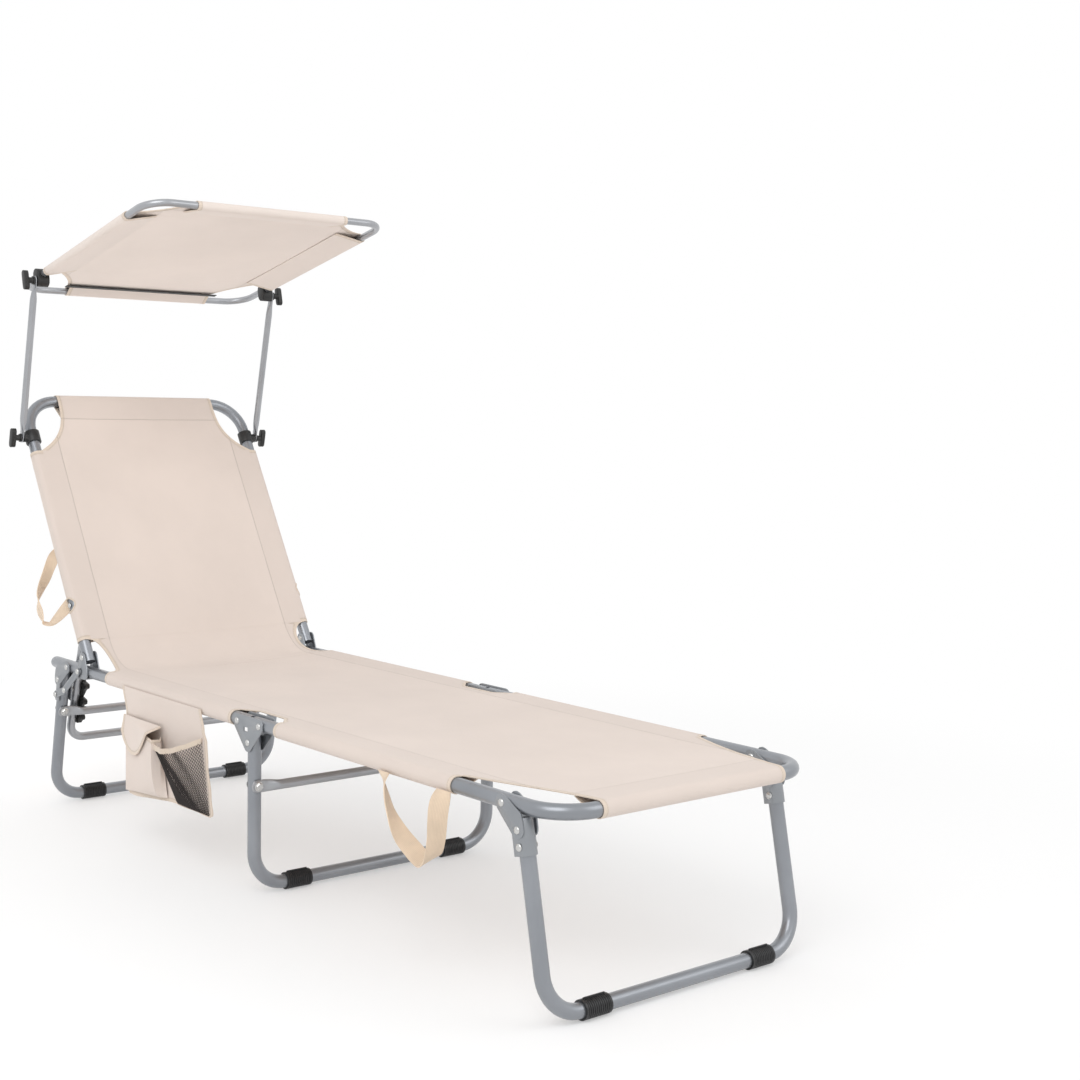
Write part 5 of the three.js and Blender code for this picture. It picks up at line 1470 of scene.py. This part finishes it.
def pouch_spot(share, low):
    """The pouch rises to its fold, turns back to a crease and closes against the panel."""
    reach = min(share / POUCH_FOLD_SHARE, 1)
    z = span((span(POUCH_TOP, reach), span(POUCH_BOTTOM, reach)), low)
    if share < POUCH_FOLD_SHARE:
        x = POUCH_LEFT + (POUCH_FOLD - POUCH_LEFT) * share / POUCH_FOLD_SHARE
        stand = pouch_depth(x, low) + POUCH_SWELL * sin(pi * share / POUCH_FOLD_SHARE) * sin(pi * low)
    elif share < POUCH_CREASE_SHARE:
        part = (share - POUCH_FOLD_SHARE) / (POUCH_CREASE_SHARE - POUCH_FOLD_SHARE)
        x = span((POUCH_FOLD, POUCH_CREASE), part)
        stand = pouch_depth(POUCH_FOLD, low) * (1 - (1 - POUCH_CREASE_DEPTH_SHARE) * part)
    else:
        part = (share - POUCH_CREASE_SHARE) / (1 - POUCH_CREASE_SHARE)
        x = span((POUCH_CREASE, span(POUCH_RIGHT, low)), part)
        stand = pouch_depth(POUCH_FOLD, low) * POUCH_CREASE_DEPTH_SHARE * (1 - part)
    pull = POUCH_HEM_PULL * ease((low - POUCH_HEM_SHARE) / (1 - POUCH_HEM_SHARE))
    return Vector((x, PANEL_FACE - PATCH_STAND - stand * (1 - pull), z))


def pouch_edge(share, low):
    return low * (POUCH_TOP[0] - POUCH_BOTTOM[0])


pouch, area = hung_sheet("flap_pouch_cloth", pouch_spot, POUCH_CELLS, pouch_edge, cloth)
fix(pouch, "seat", "cream_cloth", "flap_pouch")


def flap_drop(share):
    """How far the flap hangs at a share of its width."""
    for (start, first), (end, last) in zip(FLAP_SHARES, FLAP_SHARES[1:]):
        if share <= end:
            return FLAP_DROP * (first + (last - first) * (share - start) / (end - start))
    return FLAP_DROP * FLAP_SHARES[-1][1]


def flap_spot(share, low):
    x = span((FLAP_LEFT, FLAP_RIGHT), share)
    x -= FLAP_BULGE * (1 - share) ** 2 * sin(pi * min(low * flap_drop(share) / FLAP_DROP, 1))
    z = FLAP_TOP - flap_drop(share) * low
    rise = ease(FLAP_STAND_START + FLAP_STAND_RATE * (FLAP_TOP - z) / FLAP_DROP)
    stand = pouch_depth(max(x, POUCH_LEFT), 0) * rise + FLAP_CURL * low ** FLAP_CURL_POWER
    return Vector((x, PANEL_FACE - PATCH_STAND - FLAP_CLEARANCE - stand, z))


def flap_edge(share, low):
    change = flap_drop(share + FLAP_SLOPE_SHARE) - flap_drop(share - FLAP_SLOPE_SHARE)
    slope = change / (2 * FLAP_SLOPE_SHARE * (FLAP_RIGHT - FLAP_LEFT))
    to_rim = flap_drop(share) * (1 - low) / hypot(1, slope)
    return min(to_rim, share * (FLAP_RIGHT - FLAP_LEFT))


flap, area = hung_sheet("pouch_flap_cloth", flap_spot, FLAP_CELLS, flap_edge, cloth, FLAP_THICKNESS)
fix(flap, "seat", "cream_cloth", "pouch_flap")


def net_spot(share, low, gap=0.0):
    """The net stands off the panel at its rim, sags there and closes at its bottom."""
    z = span((span(NET_RIM, share) - NET_SAG * sin(pi * share), NET_BOTTOM), low)
    across, down = NET_BULGE_POWERS
    swell = NET_BULGE * max(sin(pi * share), 0) ** across * (1 - low) ** down
    wave = sin(share * NET_FOLD_TURNS[0] - low * NET_FOLD_TURNS[1])
    fold = NET_FOLD_DEPTH * wave * sin(pi * share) * (1 - low)
    side = NET_SIDE_STAND * (1 - share) ** 2 * (1 - low)
    y = PANEL_FACE - PATCH_STAND - swell - side - fold + gap
    return Vector((span((span(NET_LEFT, low), span(NET_RIGHT, low)), share), y, z))


def net_patch(name, cells, spot_at, material):
    """Diamond netting of thin strands on a curved patch."""
    wide, high = cells
    points = []
    for line in range(2 * high + 1):
        for column in range(wide + 1):
            share = (column + (0.5 if line % 2 else 0)) / (wide + 0.5)
            points.append(spot_at(share, line / (2 * high)))
    faces = []
    for line in range(2 * high - 1):
        shift = line % 2
        for column in range(1 - shift, wide + 1 - shift):
            top = line * (wide + 1) + column
            right = (line + 1) * (wide + 1) + column + shift
            faces.append((top, right - 1, top + 2 * (wide + 1), right))
    data = bpy.data.meshes.new(name)
    data.from_pydata(points, [], faces)
    area = sum(face.area for face in data.polygons)
    net = add_object(name, data)
    strands = net.modifiers.new("strands", "WIREFRAME")
    strands.thickness = NET_STRAND
    strands.use_even_offset = False
    bpy.ops.object.modifier_apply(modifier=strands.name)
    dress(net, material)
    return net, area


def pleat_spot(share, low):
    """The part of the net that is folded back behind itself. Its fold leans to the right."""
    gap = PLEAT_GAP * (1 - low) * (1 - share ** 2)
    return net_spot(span(PLEAT_LEFT, low) + span(PLEAT_WIDTH, low) * share, low, gap)


net_black = moulded_black("net_thread", NET_BLACK, roughness=0.7, grain=900.0)
net, net_area = net_patch("net_pouch_mesh", NET_CELLS, net_spot, net_black)
pleat, pleat_area = net_patch("net_pleat", PLEAT_CELLS, pleat_spot, net_black)
net = joined("net_pouch_mesh", [net, pleat])
fix(net, "seat", "black_net", "net_pouch")


def rim_spot(share, low):
    spot = net_spot(share, 0)
    return Vector((spot.x, spot.y - NET_RIM_STAND, spot.z + NET_RIM_HIGH * (0.5 - low)))


def rim_edge(share, low):
    return NET_RIM_HIGH * min(low, 1 - low)


rim, area = hung_sheet("net_pouch_rim", rim_spot, NET_RIM_CELLS, rim_edge, tape, NET_RIM_THICKNESS)
fix(rim, "seat", "cream_cloth")


# Carrying straps
# Two loops of beige webbing on the right side: one under the foot section and one behind the
# backrest, which hangs with a turn in it.
WEBBING_THICKNESS = 0.0016
WEBBING_BEIGE = (0.77, 0.61, 0.455)
WEBBING_PITCH = 0.0021
WEBBING_PICK_PITCH = 0.00147
WEBBING_PICK_SHARE = 0.35
WEBBING_TONE_SHARE = 0.12
STRAP_STEPS = 6
STRAP_WIDTH_SHARES = (-1, -0.5, 0, 0.5, 1)
FOOT_STRAP = (
    ((0.456, -0.2338, 0.275), (-0.0139, 0.0005, 0)),
    ((0.464, -0.2392, 0.263), (-0.0118, 0.0072, 0)),
    ((0.477, -0.2432, 0.2442), (-0.0094, 0.0103, 0.0003)),
    ((0.4905, -0.2452, 0.2245), (-0.008, 0.0114, 0.0018)),
    ((0.5057, -0.2462, 0.2085), (-0.0048, 0.0122, 0.0048)),
    ((0.5229, -0.2466, 0.1958), (-0.0015, 0.0127, 0.0058)),
    ((0.5447, -0.2468, 0.1848), (0.0005, 0.0123, 0.0066)),
    ((0.5604, -0.2468, 0.1776), (0.0008, 0.012, 0.0072)),
    ((0.5725, -0.2468, 0.1742), (0.001, 0.0122, 0.0068)),
    ((0.583, -0.2468, 0.1765), (0.001, 0.0128, 0.0052)),
    ((0.5905, -0.2468, 0.1835), (0.001, 0.0136, 0.0022)),
    ((0.5952, -0.2468, 0.194), (0.0015, 0.0138, -0.0015)),
    ((0.5985, -0.2466, 0.2095), (0.0028, 0.0135, -0.003)),
    ((0.599, -0.2458, 0.2274), (0.005, 0.0128, -0.0028)),
    ((0.5985, -0.244, 0.2465), (0.007, 0.0119, -0.0022)),
    ((0.5975, -0.24, 0.262), (0.0115, 0.0078, -0.001)),
    ((0.5965, -0.2338, 0.275), (0.0139, 0.0005, 0)),
)
BACK_STRAP = (
    ((-0.6519, -0.2275, 0.4912), (0.0073, 0, -0.0119)),
    ((-0.6562, -0.2342, 0.4775), (0.002, 0.006, -0.0125)),
    ((-0.6665, -0.2399, 0.4512), (-0.0039, 0.0086, -0.0103)),
    ((-0.6797, -0.244, 0.4287), (-0.0079, 0.0094, -0.0068)),
    ((-0.6846, -0.246, 0.4158), (-0.0099, 0.0094, -0.0028)),
    ((-0.687, -0.2479, 0.4048), (-0.0118, 0.0062, -0.0044)),
    ((-0.6828, -0.2495, 0.3926), (-0.0124, 0.0028, -0.0059)),
    ((-0.6712, -0.2505, 0.3802), (-0.0122, 0.0015, -0.0067)),
    ((-0.66, -0.2508, 0.3685), (-0.0125, 0.0042, -0.0045)),
    ((-0.6519, -0.2506, 0.3625), (-0.0108, 0.0088, -0.0004)),
    ((-0.6386, -0.2495, 0.362), (-0.011, 0.0085, 0.0015)),
    ((-0.6226, -0.2465, 0.3685), (-0.0112, 0.0055, 0.0066)),
    ((-0.6096, -0.2412, 0.3795), (-0.0098, 0.0032, 0.0096)),
    ((-0.6, -0.2345, 0.3915), (-0.008, 0.0012, 0.0114)),
    ((-0.5962, -0.2275, 0.4005), (-0.0073, 0, 0.0119)),
)


def webbing_weave(name, color):
    """Flat webbing: lengthwise ribs crossed by a fine thread."""
    material, tree, shader, place = new_material(name)
    cloth_map = wire(tree, "ShaderNodeUVMap", uv_map="cloth").outputs["UV"]
    axes = wire(tree, "ShaderNodeSeparateXYZ", Vector=cloth_map).outputs
    across = waves(tree, axes["X"], WEBBING_PITCH)
    along = waves(tree, axes["Y"], WEBBING_PICK_PITCH)
    picks = computed(tree, "MULTIPLY", across, along)
    weave = computed(tree, "MULTIPLY_ADD", picks, WEBBING_PICK_SHARE, across)
    wear = noise(tree, place, scale=30.0, detail=4.0)
    mixed = computed(tree, "MULTIPLY_ADD", weave, WEBBING_TONE_SHARE, wear)
    tone = toned(tree, mixed, color, dark=0.86, bright=1.05, ends=(0.25, 0.7))
    tree.links.new(tone, shader.inputs["Base Color"])
    set_shader(shader, Roughness=0.75, Sheen_Weight=0.2)
    bumped(tree, shader, weave, strength=0.6, distance=0.00025)
    return material


def between(values, position):
    """A smooth curve through a list of vectors."""
    last = len(values) - 1
    index = min(int(position), last - 1)
    part = position - index
    before, start, end, after = (values[min(max(index + step, 0), last)] for step in (-1, 0, 1, 2))
    slope_in = (end - before) / 2
    slope_out = (after - start) / 2
    bend = 3 * (end - start) - 2 * slope_in - slope_out
    twist = 2 * (start - end) + slope_in + slope_out
    return start + slope_in * part + bend * part ** 2 + twist * part ** 3


def webbing_strap(name, stations, material):
    """A band through stations of (middle, half width)."""
    middles = [Vector(middle) for middle, half in stations]
    halves = [Vector(half) for middle, half in stations]
    width = sum(half.length for half in halves) / len(halves)
    rows = []
    along = 0
    previous = middles[0]
    for step in range((len(stations) - 1) * STRAP_STEPS + 1):
        middle = between(middles, step / STRAP_STEPS)
        half = between(halves, step / STRAP_STEPS).normalized() * width
        along += (middle - previous).length
        previous = middle
        row = []
        for share in STRAP_WIDTH_SHARES:
            row.append((middle + half * share, (share * width, along), SEAM_NONE, SEAM_NONE))
        rows.append(row)
    band, area = cloth_from(name, [rows], material, WEBBING_THICKNESS, 0)
    return band, area, width, along


webbing = webbing_weave("webbing_beige", WEBBING_BEIGE)
STRAPS = (
    ("foot_strap", FOOT_STRAP, "foot_section", "foot_handle", "foot_cloth"),
    ("backrest_strap", BACK_STRAP, "backrest", "backrest_handle", "backrest_cloth"),
)
for name, stations, body, node, carrier in STRAPS:
    band, area, width, along = webbing_strap(name, stations, webbing)
    fix(band, body, "webbing", node)


# Studio
# A pale floor that fades to a plain white surround, two soft lamps from the front and above,
# and a low one from the head end.
CAMERA_PLACE = (2.33855, -1.55845, 0.7969)
CAMERA_AZIMUTH = 49.5
CAMERA_PITCH = 4.7
CAMERA_ROLL = 1.1
CAMERA_LENS = 54.68
CAMERA_SENSOR = 36

view_turn = Matrix.Rotation(radians(CAMERA_AZIMUTH), 4, "Z")
view_turn = view_turn @ Matrix.Rotation(radians(90 - CAMERA_PITCH), 4, "X")
view_turn = view_turn @ Matrix.Rotation(radians(CAMERA_ROLL), 4, "Z")
camera_data = bpy.data.cameras.new("photo_camera")
camera_data.lens = CAMERA_LENS
camera_data.sensor_width = CAMERA_SENSOR
camera = bpy.data.objects.new("photo_camera", camera_data)
camera.matrix_world = Matrix.Translation(CAMERA_PLACE) @ view_turn
bpy.context.collection.objects.link(camera)
bpy.context.scene.camera = camera

FLOOR_SIZE = 60
FLOOR_DROP = 0.0005
FLOOR_WHITE = (0.93, 0.93, 0.93, 1)
SURROUND_WHITE = (1, 1, 1, 1)
SURROUND_STRENGTH = 0.82
FADE_START = 0.75
FADE_END = 2.1
FADE_NEAR = 0.35


def seen_ray(tree):
    """One for rays that see a surface: from the camera, a reflection or through glass."""
    path = tree.nodes.new("ShaderNodeLightPath").outputs
    seen = computed(tree, "MAXIMUM", path["Is Camera Ray"], path["Is Glossy Ray"])
    return computed(tree, "MAXIMUM", seen, path["Is Transmission Ray"])


def chosen(tree, factor, first, second):
    """The first shader, or the second where the factor is one."""
    node = tree.nodes.new("ShaderNodeMixShader")
    for socket, value in zip(node.inputs, (factor, first.outputs[0], second.outputs[0])):
        tree.links.new(value, socket)
    return node.outputs[0]


bpy.ops.object.select_all(action="DESELECT")
bpy.ops.mesh.primitive_plane_add(size=FLOOR_SIZE, location=(0, 0, -FLOOR_DROP))
floor = bpy.context.object
floor.name = "studio_floor"
floor_white, tree, shader, place = new_material("studio_white")
set_shader(shader, Base_Color=FLOOR_WHITE, Roughness=0.9, Specular_IOR_Level=0.1)
reach = wire(tree, "ShaderNodeVectorMath", Vector=place, operation="LENGTH").outputs["Value"]
fade = wire(
    tree, "ShaderNodeMapRange", Value=reach, From_Min=FADE_START, From_Max=FADE_END,
    To_Min=FADE_NEAR, interpolation_type="SMOOTHSTEP",
)
glow = wire(tree, "ShaderNodeEmission", Color=SURROUND_WHITE, Strength=1.0)
lit_share = computed(tree, "MULTIPLY", seen_ray(tree), fade.outputs["Result"])
surface = tree.nodes["Material Output"].inputs["Surface"]
tree.links.new(chosen(tree, lit_share, shader, glow), surface)
dress(floor, floor_white)

world = bpy.data.worlds.new("studio_surround")
bpy.context.scene.world = world
world.use_nodes = True
tree = world.node_tree
tree.nodes.clear()
lit = wire(tree, "ShaderNodeBackground", Color=SURROUND_WHITE, Strength=SURROUND_STRENGTH)
white = wire(tree, "ShaderNodeBackground", Color=SURROUND_WHITE, Strength=1.0)
output = tree.nodes.new("ShaderNodeOutputWorld")
tree.links.new(chosen(tree, seen_ray(tree), lit, white), output.inputs["Surface"])

LAMP_AIM = (-0.1, 0, 0.45)
LAMPS = (
    ("key_lamp", (1.6, -2.2, 2.6), 2.2, 40, True),
    ("side_lamp", (2.8, 1.6, 2.2), 2.0, 18, True),
    ("low_lamp", (-2.2, -0.15, 0.25), 1.2, 22, False),
)
for name, spot, size, power, mirrored in LAMPS:
    lamp_data = bpy.data.lights.new(name, "AREA")
    lamp_data.size = size
    lamp_data.energy = power
    lamp = bpy.data.objects.new(name, lamp_data)
    aim = (Vector(LAMP_AIM) - Vector(spot)).to_track_quat("-Z", "Y")
    lamp.matrix_world = Matrix.Translation(spot) @ aim.to_matrix().to_4x4()
    lamp.visible_glossy = mirrored
    lamp.visible_camera = mirrored
    bpy.context.collection.objects.link(lamp)

bpy.context.scene.view_settings.view_transform = "Standard"
